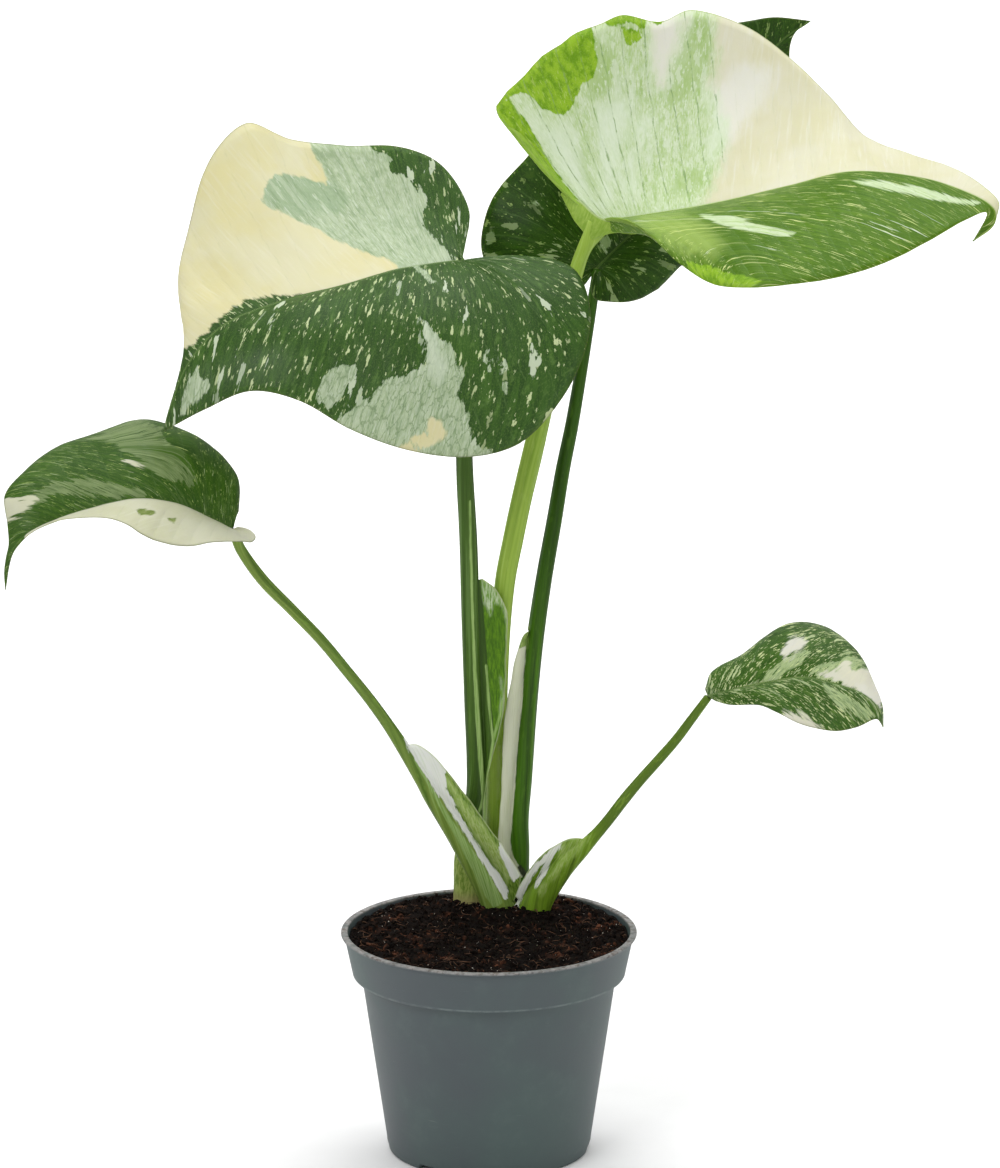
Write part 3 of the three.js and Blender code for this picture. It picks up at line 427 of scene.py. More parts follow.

# Outlines of the markings of each half of a blade. cream, mint and light are kinds of tissue,
# tint is a wash over them, and the highlight outlines mark a painted highlight of glossy streaks
# over them.
PATCHES = {
    "a": {
        "far": {
            "cream": [
                "303,130 312,150 322,168 330,184 318,182 303,178 286,174 274,175 266,184 260,199 "
                "266,206 282,213 303,222 332,238 361,251 387,260 404,274 370,292 330,301 316,297 "
                "286,295 249,299 226,314 203,334 190,347 165,350 150,290 165,210 190,150 240,100",
            ],
            "mint": [
                "335,288 400,275 464,270 449,257 437,242 427,228 422,216 427,205 420,190 407,177 "
                "392,169 391,157 381,152 366,148 350,120 200,80 180,240 250,285",
            ],
            "tint": [
                "258,176 276,168 304,176 336,184 352,200 340,214 316,212 296,216 276,206 264,200",
            ],
        },
        "near": {
            "cream": [
                "431,417 440,421 447,434 456,437 430,446 412,456 396,452 396,447 415,437 427,429",
            ],
            "mint": [
                "332,370 344,363 358,368 355,380 347,386 344,397 329,406 319,400 318,388 322,377",
                "335,419 358,408 372,391 390,380 404,375 418,373 425,362 425,340 421,318 430,331 "
                "447,342 458,357 461,377 460,397 468,408 471,426 467,449 493,443 494,456 472,470 "
                "400,475 335,445",
                "500,358 504,362 507,394 501,392",
                "485,338 488,342 488,370 484,366",
                "410,264 418,264 437,284 430,282",
                "196,368 209,386 186,412 176,420",
            ],
            "highlight": [
                "422,316 430,330 440,346 446,366 440,384 430,380 426,350",
            ],
        },
    },
    "b": {
        "far": {
            "cream": [
                "716,4 718,50 712,84 722,108 730,136 720,170 700,212 760,230 1010,260 1010,150 "
                "900,120 820,40 760,0",
                "649,24 684,14 676,50 661,86 655,60",
            ],
            "light": [
                "490,96 503,86 530,62 560,36 589,22 596,50 599,62 591,80 580,87 573,106 564,116 "
                "554,113 543,108 530,95 516,92 510,98 520,113 534,136 548,158 566,186 590,214 "
                "570,226 530,196 490,140",
                "622,33 640,27 649,28 646,38 629,48 623,43",
                "600,20 625,8 665,14 664,24 640,21 612,26",
            ],
            "tint": [
                "690,20 704,18 712,40 708,76 690,96 668,108 662,90 672,66 682,44",
                "676,176 700,168 704,186 686,198 670,196",
                "742,20 770,40 764,60 738,52",
                "574,150 584,148 596,190 590,200 578,176",
                "735,178 752,172 756,184 738,192",
                "590,40 618,50 610,90 592,100 584,70",
            ],
            "highlight": [
                "516,100 536,112 552,124 566,122 578,150 588,184 596,208 574,188 552,158 534,130",
                "598,108 618,96 634,104 624,140 616,176 610,206 602,206 600,150",
                "640,120 652,116 640,160 628,200 622,200 630,160",
                "712,90 740,62 776,70 760,106 730,142 712,156",
                "646,14 688,10 680,50 662,92 650,62",
            ],
            "mint": [
                "470,0 470,240 1020,240 1020,0",
            ],
        },
        "near": {
            "mint": [
                "699,215 735,217 770,227 796,234 780,237 742,231 712,222",
                "848,180 872,180 905,185 945,195 980,203 972,206 930,199 890,191 862,185",
                "702,268 716,270 718,277 706,274",
            ],
            "light": [
                "686,262 708,266 724,272 764,282 740,294 704,290",
            ],
            "tint": [
                "630,212 680,214 706,226 722,246 712,258 684,254 650,232",
            ],
        },
    },
    "c": dict.fromkeys(("far", "near"), {
        "mint": [
            "520,186 530,190 528,196 520,194",
            "532,192 546,196 548,204 536,204 530,198",
            "487,232 494,228 496,240 488,246",
            "604,236 612,240 606,252 601,246",
        ],
    }),
    "d": {
        "far": {
            "mint": [
                "8,499 20,499 38,490 55,483 75,479 100,479 116,485 143,495 116,497 93,497 71,494 "
                "55,495 40,503 20,514 9,522 2,510",
                "84,440 110,430 140,414 156,424 170,440 180,448 191,466 196,488 180,482 160,476 "
                "140,462 126,452 110,444",
            ],
            "cream": [
                "2,498 20,499 34,493 38,499 30,507 16,517 5,524",
                "125,459 132,461 141,467 144,471 134,469",
            ],
        },
        "near": {
            "cream": [
                "24,480 24,560 270,620 270,480",
            ],
            "light": [
                "136,511 140,509 150,510 157,513 151,516 138,515",
                "167,518 172,519 177,518 174,523 169,521",
            ],
        },
    },
    "e": {
        "far": {
            "cream": [
                "844,661 855,670 872,672 882,684 888,702 879,706 863,697 856,689 841,683 826,678 "
                "818,673 837,673",
                "789,638 797,635 807,641 801,649 784,657 782,651",
            ],
            "mint": [
                "810,668 835,660 848,652 864,664 876,684 850,686 820,680",
                "745,690 780,664 800,652 812,650 800,664 770,684",
            ],
        },
        "near": {
            "cream": [
                "784,711 796,712 812,720 822,730 806,734 784,722",
            ],
            "mint": [
                "824,686 845,694 866,706 876,716 862,722 846,708 830,696",
            ],
        },
    },
}

# Outlines of the markings of each stalk. leafy is where the sheath's own tissue shows.
STALK_PATCHES = {
    "a": {
        "mint": [
            "469.2,500 470.8,500 472.4,560 474,620 476.4,668 480,720 483.6,770 486,800 487,825 "
            "483.6,825 481.6,795 478.4,762 475,712 472.6,660 471,610 469.6,560",
            "485,664 487,664 490,700 493,730 494.6,746 492.6,746 490.4,728 487.4,700",
            "503,700 501,716 495,737 489,772 484,800 480,813 478,811 482,798 487,771 493,735 "
            "499,714 501,700",
        ],
        "light": [
            "479,568 492,572 510,596 509,640 506.4,640 506,620 502,606 494,604 490,616 484,604",
            "500,676 503,680 503.6,700 501,716 499,712 501,696",
        ],
        "leafy": [
            "479,560 480,578 482.6,610 485.8,648 487,671 489.4,693 492.2,721 495.5,748 530,748 "
            "530,560",
        ],
        "foot": [
            "436,834 470,846 486,905 436,912",
        ],
    },
    "b": {
        "light": [
            "484,730 490,730 489,850 482,850",
            "498,745 501,745 499,800 497,800",
        ],
    },
    "c": {
        "cream": [
            "526,646 525,663 522,705 518,740 514,800 510.5,842 513,856 520,868 523,876 512,886 "
            "494,870 494,760 500,700 508,672 516,650",
        ],
        "light": [
            "519,628 529,626 528,648 517,654",
        ],
        "foot": [
            "517,866 521,865 527,873 530,880 525,879 519,872",
        ],
    },
    "d": {
        "cream": [
            "404,738 409,741 414,742 421,744 430,750 440,760 448,770 446,773 444,774 445.6,781 "
            "446,789 452.5,797.5 455,805 460,815 466,825 474,839 482.5,851 490,862.5 499,874 "
            "505,884 508.5,891 507.5,899 504,899 497.5,887.5 490,875 482.5,862.5 475,850 465,835 "
            "457.5,822.5 449,810 437.5,795 427.5,779 417.5,764 409,751",
            "500,842 506,845 513,856 519,866 522,874 514,882 508,872 503,860 498,850",
        ],
        "mint": [
            "413,759 415,759 434,790 455,825 468,843 478,858 490,876 499,893 503,903 494,908 "
            "486,898 478,880 468,862 455,836 446,820 432,793",
        ],
        "light": [
            "446,776 452,782 462,797 474,812 488,832 500,848 508,862 512,876 507,884 500,872 "
            "492,860 484,848 474,834 466,820 458,806 452,794 447,786",
        ],
    },
    "e": {
        "cream": [
            "508,912 512,898 518,886 524,877 531,869 540,860 548,852 556,845 562,842 560,848 "
            "553,856 546,862 541,866 534,875 528,886 522,898 516,912",
            "557,850 554,858 549,865 546,873 540,883 535,890 533,887 539,876 543,866 549,857 "
            "553,851",
        ],
        "light": [
            "561,846 575,836 588,836 584,846 572,858 560,872 548,886 540,896 536,892 548,876 "
            "556,862",
        ],
    },
}


# Blades.
def plan_half(midrib, stations, shares, lobe_rows):
    """Vein foot, margin point, bulge and margin share for every row of half a blade."""
    full = [row if len(row) > 4 else row + NO_BULGE for row in stations]
    table = np.array(full + [(1, *midrib[-1], *NO_BULGE)], float)
    share, rows = table[:, 0], table[:, 1:]
    keys = chord_keys(rows)
    lobe_end = max(np.flatnonzero(share == 0))
    lobe = np.linspace(0, keys[lobe_end], lobe_rows)
    main = np.interp(shares[1:], share[lobe_end:], keys[lobe_end:])
    margin = np.concatenate([lobe, main])
    foot_share = np.concatenate([np.zeros(lobe_rows), shares[1:]])
    sampled = spline(rows, keys, margin)
    foot = spline(midrib, chord_keys(midrib), foot_share)
    return foot, sampled[:, :3], sampled[:, 3:], margin


class Surface:
    """Collects the shared vertices, faces and per vertex numbers of a blade."""

    def __init__(self):
        self.parts, self.quads, self.tris, self.edges = [], [], [], []
        self.count = 0

    def add(self, points, grain, lines, side):
        """side is 0 on the midrib, 1 on the far half and 2 on the near half."""
        self.parts.append((points, grain, lines, np.full(len(points), side)))
        self.count += len(points)
        return np.arange(self.count - len(points), self.count)

    def join(self):
        return [np.concatenate(column) for column in zip(*self.parts)]


def half_lines(grid, foot, edge, margin, plan, number):
    """Grain and lines of the points of half a blade."""
    columns = grid.shape[1]
    steps = np.diff(np.concatenate([foot[:-1, None], grid], 1), axis=1)
    along = np.cumsum(np.linalg.norm(steps, axis=2), axis=1)
    shear = plan.lean[number] * smooth(margin[:-1], 0.2, 0.5)[:, None]
    beside = np.repeat((margin[:-1] * path_length(edge))[:, None], columns, 1) - shear * along
    vein = margin[:-1] * plan.veins
    row_gap = np.linalg.norm(np.gradient(grid, axis=0), axis=2)
    vein_width = row_gap / np.maximum(np.abs(np.gradient(vein)), 1e-6)[:, None]
    vein_map = np.repeat(vein[:, None], columns, 1)
    share_map = np.repeat(margin[:-1][:, None], columns, 1)
    grain = (beside + NEAR_GRAIN * number, along, share_map)
    lines = (along, along[:, -1:] - along, vein_map, vein_width)
    return [np.stack([column.ravel() for column in fields], 1) for fields in (grain, lines)]


def blade_surface(plan):
    """Middle surface of a blade. grain holds millimetres across and along the veins, and
    lines the millimetres from the midrib and the margin, the count of veins and their spacing."""
    length = path_length(plan.midrib)
    shares = np.linspace(0, 1, int(length / plan.spacing * 1.15) + 1)
    surface = Surface()
    points = spline(plan.midrib, chord_keys(plan.midrib), shares)
    grain = np.stack([shares * length, np.zeros(len(shares)), shares], 1)
    lines = np.tile(MIDRIB_LINES, (len(shares), 1))
    spine = surface.add(points, grain, lines, 0)
    # The columns lie closer together near the midrib.
    across = np.linspace(0, 1, plan.columns + 1)[None, 1:, None] ** 1.35
    tip = np.full(plan.columns, spine[-1])
    for number, stations in enumerate((plan.far, plan.near)):
        lobe_rows = max(6, int(path_length([r[1:4] for r in stations if r[0] == 0]) / plan.spacing))
        foot, edge, bulge, margin = plan_half(plan.midrib, stations, shares, lobe_rows)
        grid = foot[:, None] + (edge - foot)[:, None] * across
        grid = (grid + bulge[:, None] * 4 * across * (1 - across))[:-1]
        grain, lines = half_lines(grid, foot, edge, margin, plan, number)
        ids = surface.add(grid.reshape(-1, 3), grain, lines, number + 1).reshape(len(grid), -1)
        feet = np.concatenate([np.full(lobe_rows, spine[0]), spine[1:-1]])
        full = np.concatenate([feet[:, None], ids], 1)
        quads = grid_quads(full)
        fan = quads[:, 0] == quads[:, 3]
        end = np.stack([full[-1, :-1], full[-1, 1:], tip], -1)
        tris = np.concatenate([quads[fan][:, :3], end])
        quads = quads[~fan]
        if number == 1:
            quads, tris = quads[:, ::-1], tris[:, ::-1]
        surface.quads.append(quads)
        surface.tris.append(tris)
        surface.edges.append((full[0], ids[1:, -1]))
    (far_base, far_rim), (near_base, near_rim) = surface.edges
    rim = [far_base, far_rim, spine[-1:], near_rim[::-1], near_base[::-1][:-1]]
    return surface, np.concatenate(rim)


def leaf_relief(points, rib, rim, vein):
    """Hollows along the veins, soft cushions between them, and a wavy margin."""
    waves, fine = (np.array([noise.noise(Vector(p * scale)) for p in points])
                   for scale in (0.045, 0.16))
    hollows = -0.22 * ridge(vein, 1.1) * smooth(rib, 2, 14) * smooth(rim, 0.5, 5)
    return hollows + (0.55 * waves + 0.16 * fine) * smooth(rib, 3, 25)


def blade_mesh(name, plan, patches, material):
    surface, loop = blade_surface(plan)
    points, grain, lines, side = surface.join()
    surfaces = [np.concatenate(surface.quads), np.concatenate(surface.tris)]
    normals = vertex_normals(points, surfaces)
    if normals[:, 2].sum() < 0:
        surfaces, loop = [faces[:, ::-1] for faces in surfaces], loop[::-1]
        normals = -normals
    rib, rim, vein_count, vein_width = lines.T
    vein = np.abs(vein_count - np.round(vein_count)) * vein_width
    points = points + normals * leaf_relief(points, rib, rim, vein)[:, None]
    taper = 1 - grain[:, 2]
    groove = 0.35 * ridge(rib, 0.9)
    keel = KEEL_DEPTH * ridge(rib, 1.5) * (0.15 + 0.85 * taper)
    side_ribs = 0.16 * ridge(vein, 0.7) * smooth(rib, 0.5, 4) * smooth(rim, 1, 12)
    half = BLADE_THICKNESS / 2 * (0.45 + 0.55 * smooth(rim, 0, 1.2))
    top = points + normals * (half - groove * taper * 0.6)[:, None]
    under = points - normals * (half + keel + side_ribs)[:, None]
    count = len(points)
    pixels = to_photo(points)
    paint, wash = np.zeros((count, 3)), np.zeros((count, 3))
    for half_name, mask in (("far", side == 1), ("near", side != 1)):
        markings = patches.get(half_name, {})
        paint[mask] = painted(pixels[mask], markings, ("cream", "mint", "light"))
        wash[mask, :2] = painted(pixels[mask], markings, ("tint", "highlight"))
    wash[:, 2] = vein_width
    both = np.tile(grain, (2, 1))
    both[:, 2] = np.repeat([0, 1], count)
    attributes = {"grain": both, "lines": np.tile(lines[:, :3], (2, 1)),
                  "paint": np.tile(paint, (2, 1)), "wash": np.tile(wash, (2, 1))}
    faces = sheet_faces(surfaces, loop, count)
    return make_object(name, np.concatenate([top, under]), faces, material, attributes)


# Petioles with their sheaths, as one loft of changing outline.
def petiole_section(row, sideways, depth, edge, bow):
    """One outline of a petiole with its sheath, the place of each point round it, and its
    distance from the root and from the free edge of the sheath."""
    centre, half_width, half_depth = row[:3], row[3], row[4]

    def oval(angle):
        swell = 1 + 0.03 * math.cos(5 * angle) + 0.02 * math.cos(9 * angle + 1)
        out = sideways * half_width * math.cos(angle) + depth * half_depth * math.sin(angle)
        return centre + out * swell

    girth = math.pi * (half_width + half_depth)
    upper, lower = oval(SHEATH_ROOT), oval(-SHEATH_ROOT)
    root = (upper + lower) / 2
    if edge is None:
        edge = oval(0)
    reach = np.linalg.norm(edge - root)
    lift = np.array([0, -bow, 0]) * min(1, reach / 8)
    angles = np.linspace(SHEATH_ROOT, 2 * math.pi - SHEATH_ROOT, STALK_SIDES)
    ring = [(oval(a), a / (2 * math.pi) * girth, 0.0) for a in angles]
    # The two faces of the sheath, which thins from its root to its free edge.
    for sign, steps in ((-1, FLAP_STEPS[1:]), (1, FLAP_STEPS[:0:-1])):
        for v in steps:
            middle = root + (edge - root) * v + lift * 4 * v * (1 - v)
            thick = 0.11 + 0.89 * (1 - v) ** 2.6
            place = girth + v * reach if sign < 0 else -v * reach
            ring.append((middle + (upper - lower) / 2 * sign * thick, place, v * reach))
    points, around, flap = zip(*ring)
    return points, around, [(f, reach - f) for f in flap]


def free_edges(plan, shares):
    """Free edge of the sheath at each share, or None where there is no sheath."""
    if not plan.sheath:
        return [None] * len(shares)
    rows = np.array(plan.sheath)
    start, end = rows[0, 0], rows[-1, 0]
    edges = spline(rows[:, 1:], rows[:, 0], np.clip(shares, start, end))
    ripple = 0.1 * np.sin(shares * 140) + 0.08 * np.sin(shares * 73 + 1)
    edges[:, 0] += ripple * smooth(shares, start, start + 0.05)
    return [e if start <= s <= end else None for e, s in zip(edges, shares)]


def unit_rows(vectors):
    return vectors / np.linalg.norm(vectors, axis=1, keepdims=True)


def petiole_mesh(name, plan, patches, material):
    keys = chord_keys(plan.stations)
    shares = np.linspace(0, 1, STALK_RINGS + 1)
    rows = spline(plan.stations, keys, shares)
    ahead, behind = (spline(plan.stations, keys, np.clip(shares + shift, 0, 1))[:, :3]
                     for shift in (0.01, -0.01))
    axis = unit_rows(ahead - behind)
    sideways = unit_rows(np.cross([0, 1, 0], axis) * plan.side)
    depth = np.cross(axis, sideways) * plan.side
    length = path_length(rows)
    points, grain, lines = [], [], []
    for i, edge in enumerate(free_edges(plan, shares)):
        ring, around, gaps = petiole_section(rows[i], sideways[i], depth[i], edge, plan.bow)
        points += ring
        grain += [(a, shares[i] * length) for a in around]
        lines += gaps
    points = np.array(points)
    ids = np.arange(len(points)).reshape(len(shares), -1)
    quads = grid_quads(np.concatenate([ids, ids[:, :1]], 1))
    faces = quads.tolist() + [ids[0][::-1].tolist(), ids[-1].tolist()]
    if plan.side < 0:
        faces = [face[::-1] for face in faces]
    marks = {"leafy": [WHOLE_PHOTO], **patches}
    paint = painted(to_photo(points), marks, ("cream", "mint", "light", "foot", "leafy"))
    attributes = {
        "grain": np.column_stack([grain, paint[:, 4]]),
        "lines": np.column_stack([lines, paint[:, 3]]),
        "paint": paint[:, :3],
    }
    return make_object(name, points, faces, material, attributes)


def collar_mesh(name, rims, material):
    """A thin curved sheet between two edges, bowed forwards."""
    rims = np.array(rims, float)
    lower, upper = (spline(rims[:, k], chord_keys(rims[:, 0]), np.linspace(0, 1, COLLAR_ROWS))
                    for k in (0, 1))
    steps = np.linspace(0, 1, COLLAR_STEPS)
    v = steps[None, :, None]
    grid = lower[:, None] + (upper - lower)[:, None] * v + COLLAR_BOW * 4 * v * (1 - v)
    rows, columns = grid.shape[:2]
    ids = np.arange(rows * columns).reshape(rows, columns)
    quads = grid_quads(ids)[:, [0, 3, 2, 1]]
    points = grid.reshape(-1, 3)
    normals = vertex_normals(points, [quads])
    loop = np.concatenate([ids[:, 0], ids[-1, 1:], ids[-2::-1, -1], ids[0, -2:0:-1]])
    height = np.linalg.norm(upper - lower, axis=1)[:, None]
    across = np.repeat(np.arange(rows) * COLLAR_ROW_GAP, columns)
    along, beyond = (height * steps).ravel(), (height * (1 - steps)).ravel()
    reach = np.full(len(points), MARK_REACH)
    attributes = {
        "grain": np.tile(np.stack([across, along, reach], 1), (2, 1)),
        "lines": np.tile(np.stack([along, beyond, -reach], 1), (2, 1)),
        "paint": np.full((2 * len(points), 3), -MARK_REACH),
    }
    both = [points + normals * side * COLLAR_THICKNESS / 2 for side in (1, -1)]
    faces = sheet_faces([quads], loop, len(points))
    return make_object(name, np.concatenate(both), faces, material, attributes)


# Materials.
def colour(code):
    """Linear colour from an sRGB hex code."""
    parts = [int(code[i:i + 2], 16) / 255 for i in (0, 2, 4)]
    return (*(c / 12.92 if c <= 0.04045 else ((c + 0.055) / 1.055) ** 2.4 for c in parts), 1.0)


def read_look(look):
    """A look with its hex codes turned into colours."""
    items = look.items()
    return SimpleNamespace(**{k: colour(v) if isinstance(v, str) else v for k, v in items})


class Shader:
    """Short calls for building a material's nodes."""

    def __init__(self, name):
        self.material = bpy.data.materials.new(name)
        self.material.use_nodes = True
        self.tree = self.material.node_tree
        self.surface = self.tree.nodes["Principled BSDF"]

    def node(self, kind, inputs, **settings):
        made = self.tree.nodes.new("ShaderNode" + kind)
        for key, value in settings.items():
            setattr(made, key, value)
        for key, value in inputs.items():
            self.feed(made.inputs[key], value)
        return made

    def feed(self, socket, value):
        if isinstance(value, bpy.types.NodeSocket):
            self.tree.links.new(value, socket)
        else:
            socket.default_value = value

    def math(self, operation, a, b=0.0):
        return self.node("Math", {0: a, 1: b}, operation=operation).outputs[0]

    def times(self, a, b):
        return self.math("MULTIPLY", a, b)

    def plus(self, a, b):
        return self.math("ADD", a, b)

    def swing(self, field, amount):
        """A noise field made to swing round zero."""
        return self.times(self.math("SUBTRACT", field, 0.5), amount)

    def step(self, value, low, high, to_low=0.0, to_high=1.0):
        ends = {"Value": value, "From Min": low, "From Max": high, "To Min": to_low,
                "To Max": to_high}
        return self.node("MapRange", ends, interpolation_type="SMOOTHSTEP").outputs["Result"]

    def mix(self, amount, a, b):
        made = self.node("Mix", {}, data_type="RGBA")
        for key, value in (("Factor", amount), (6, a), (7, b)):
            self.feed(made.inputs[key], value)
        return made.outputs[2]

    def lay(self, under, over, field, low, high, amount=1.0):
        """Covers one hue with another where a field passes from low to high."""
        return self.mix(self.step(field, low, high, 0, amount), under, over)

    def attribute(self, name):
        return self.node("Attribute", {}, attribute_name=name).outputs["Vector"]

    def split(self, vector):
        return self.node("SeparateXYZ", {0: vector}).outputs

    def place(self):
        return self.node("TexCoord", {}).outputs["Object"]

    def stretched(self, vector, x, y, z, shift=0.0):
        inputs = {"Vector": vector, "Scale": (x, y, z), "Location": (shift, shift * 0.37, 0)}
        return self.node("Mapping", inputs).outputs[0]

    def noise(self, vector, scale, detail, roughness=0.55):
        inputs = {"Vector": vector, "Scale": scale, "Detail": detail, "Roughness": roughness}
        return self.node("TexNoise", inputs).outputs["Fac"]

    def strands(self, grain, wide, long, shift, detail, roughness):
        """Noise drawn out along the grain."""
        return self.noise(self.stretched(grain, wide, long, 0, shift), 1, detail, roughness)

    def shaken(self, grain, wide, long, shift, amount):
        """Grain coordinates in cells, shaken so that what is drawn on them is ragged."""
        cells = self.stretched(grain, wide, long, 0, shift)
        swirl = self.node("TexNoise", {"Vector": cells, "Scale": 2.6, "Detail": 3.0},
                          noise_dimensions="2D").outputs["Color"]
        shake = self.node("VectorMath", {0: swirl, 1: (0.5, 0.5, 0.5)}, operation="SUBTRACT")
        shake = self.node("VectorMath", {0: shake.outputs[0], "Scale": amount}, operation="SCALE")
        return self.node("VectorMath", {0: cells, 1: shake.outputs[0]}, operation="ADD").outputs[0]

    def flecks(self, grain, wide, long, shift, kept, size):
        """Separate ragged spots, drawn out along the veins: 0 off them and up to 1 on them."""
        cells = self.shaken(grain, wide, long, shift, 0.9)
        spots = self.node("TexVoronoi", {"Vector": cells, "Scale": 1.0},
                          voronoi_dimensions="2D").outputs
        luck = self.split(spots["Color"])
        radius = self.step(luck[0], 1 - kept, 1, 0.0, size)
        inside = self.math("SUBTRACT", radius, spots["Distance"])
        return self.times(self.step(inside, 0.0, 0.06), self.step(luck[1], 0.0, 0.7, 0.4, 1.0))

    def cracks(self, grain, wide, long, shift, width):
        """A net of fine lines between cells: 1 on a line and 0 elsewhere."""
        cells = self.shaken(grain, wide, long, shift, 0.7)
        net = self.node("TexVoronoi", {"Vector": cells, "Scale": 1.0},
                        feature="DISTANCE_TO_EDGE", voronoi_dimensions="2D")
        return self.step(net.outputs["Distance"], width, 0.0)

    def translucent(self, weight, scale, radius):
        self.surface.inputs["Subsurface Weight"].default_value = weight
        self.surface.inputs["Subsurface Scale"].default_value = scale
        self.surface.inputs["Subsurface Radius"].default_value = radius

    def shine(self, level):
        self.surface.inputs["Specular IOR Level"].default_value = level

    def finish(self, base, roughness, relief=None, strength=0, distance=0):
        """Links the hue, the roughness and the bump of a height in metres."""
        self.feed(self.surface.inputs["Base Color"], base)
        self.feed(self.surface.inputs["Roughness"], roughness)
        if relief is not None:
            inputs = {"Height": relief, "Strength": strength, "Distance": distance}
            self.feed(self.surface.inputs["Normal"], self.node("Bump", inputs).outputs[0])
        return self.material


def leaf_noises(s, grain, place, seed):
    shift = seed * 17.3
    return SimpleNamespace(
        shift=shift,
        strands=s.strands(grain, 0.5, 0.045, shift, 5, 0.6),
        fibres=s.strands(grain, 2.6, 0.3, shift, 4, 0.65),
        flames=s.strands(grain, 0.2, 0.06, shift + 5, 5, 0.6),
        mottle=s.strands(grain, 0.3, 0.16, shift + 7, 7, 0.68),
        freckle=s.strands(grain, 2.4, 1.2, shift + 2, 4, 0.7),
        clouds=s.noise(place, 34 + seed, 4),
    )


def green_tissue(s, look, n, grain):
    """Green ground and lime patches, with cream flecks in three sizes along the veins."""
    green = s.lay(look.deep, look.green, n.strands, 0.38, 0.62)
    green = s.lay(green, look.deep, n.clouds, 0.4, 0.66, 0.6)
    green = s.lay(green, look.bright, n.freckle, 0.5, 0.66, look.freckles)
    green = s.lay(green, look.bright, n.mottle, 0.54, 0.64, look.mottles)
    lime = s.lay(look.light, look.light_deep, n.mottle, 0.42, 0.62)
    lime = s.lay(lime, look.light_pale, n.freckle, 0.52, 0.66, 0.45)
    for number, (wide, long, kept, size, hue) in enumerate(look.flecks):
        spots = s.flecks(grain, wide, long, n.shift + 31 * number, kept, size)
        green = s.mix(spots, green, getattr(look, hue))
        lime = s.mix(s.times(spots, 0.7), lime, look.light_pale)
    return green, lime


def mint_tissue(s, look, n, grain, tint, near):
    """Milky tissue with grey green strands and a net of cells."""
    mint = s.lay(look.mint, look.mint_light, n.fibres, 0.36, 0.66)
    mint = s.lay(mint, look.mint_deep, n.mottle, 0.46, 0.62, look.mint_cells)
    mint = s.lay(mint, look.mint_deep, n.strands, 0.48, 0.66, look.mint_strands)
    mint = s.lay(mint, look.mint_light, n.flames, 0.52, 0.62, look.mint_flames)
    mint = s.lay(mint, look.tint, tint, -5, 5, look.tint_strength)
    # Flecks in the hue of the glossy streaks are painted glints.
    for number, (wide, long, kept, size, hue) in enumerate(look.mint_flecks):
        spots = s.flecks(grain, wide, long, n.shift + 17 + 13 * number, kept, size)
        mint = s.mix(s.times(spots, look.mint_contrast), mint, getattr(look, hue))
    net = s.cracks(grain, 0.3, 0.17, n.shift + 3, 0.12)
    net = s.times(net, near(look.far_net, 1.0))
    return s.mix(s.times(net, look.mint_net), mint, look.mint_line)


def cream_tissue(s, look, n):
    cream = s.lay(look.cream, look.cream_deep, n.clouds, 0.36, 0.66)
    return s.lay(cream, look.cream_light, n.strands, 0.5, 0.72, 0.5)


def side_veins(s, look, n, near, vein, rib_gap, in_cream):
    """Strength of the veins: they fade at the midrib, in cream and where the tissue is mottled."""
    drawn = s.times(s.step(vein, 0.42, 0.1), s.step(rib_gap, 1.5, 6))
    drawn = s.times(drawn, s.step(in_cream, -3, 4, look.vein_strength, 0.08))
    drawn = s.times(drawn, s.step(n.mottle, 0.42, 0.56, 1.0, 0.15))
    return s.times(drawn, near(1.0, look.near_vein))


def leaf_skin(s, look, n, place, beneath):
    """Roughness and fine relief. The underside is duller."""
    pores = s.noise(place, 2600, 2)
    relief = s.plus(s.times(n.fibres, 0.8), s.times(pores, 0.2))
    relief = s.plus(relief, s.times(n.mottle, 0.9))
    dull = s.plus(s.step(n.clouds, 0.3, 0.75, -0.04, 0.08), look.roughness)
    return s.plus(dull, s.times(beneath, 0.16)), relief


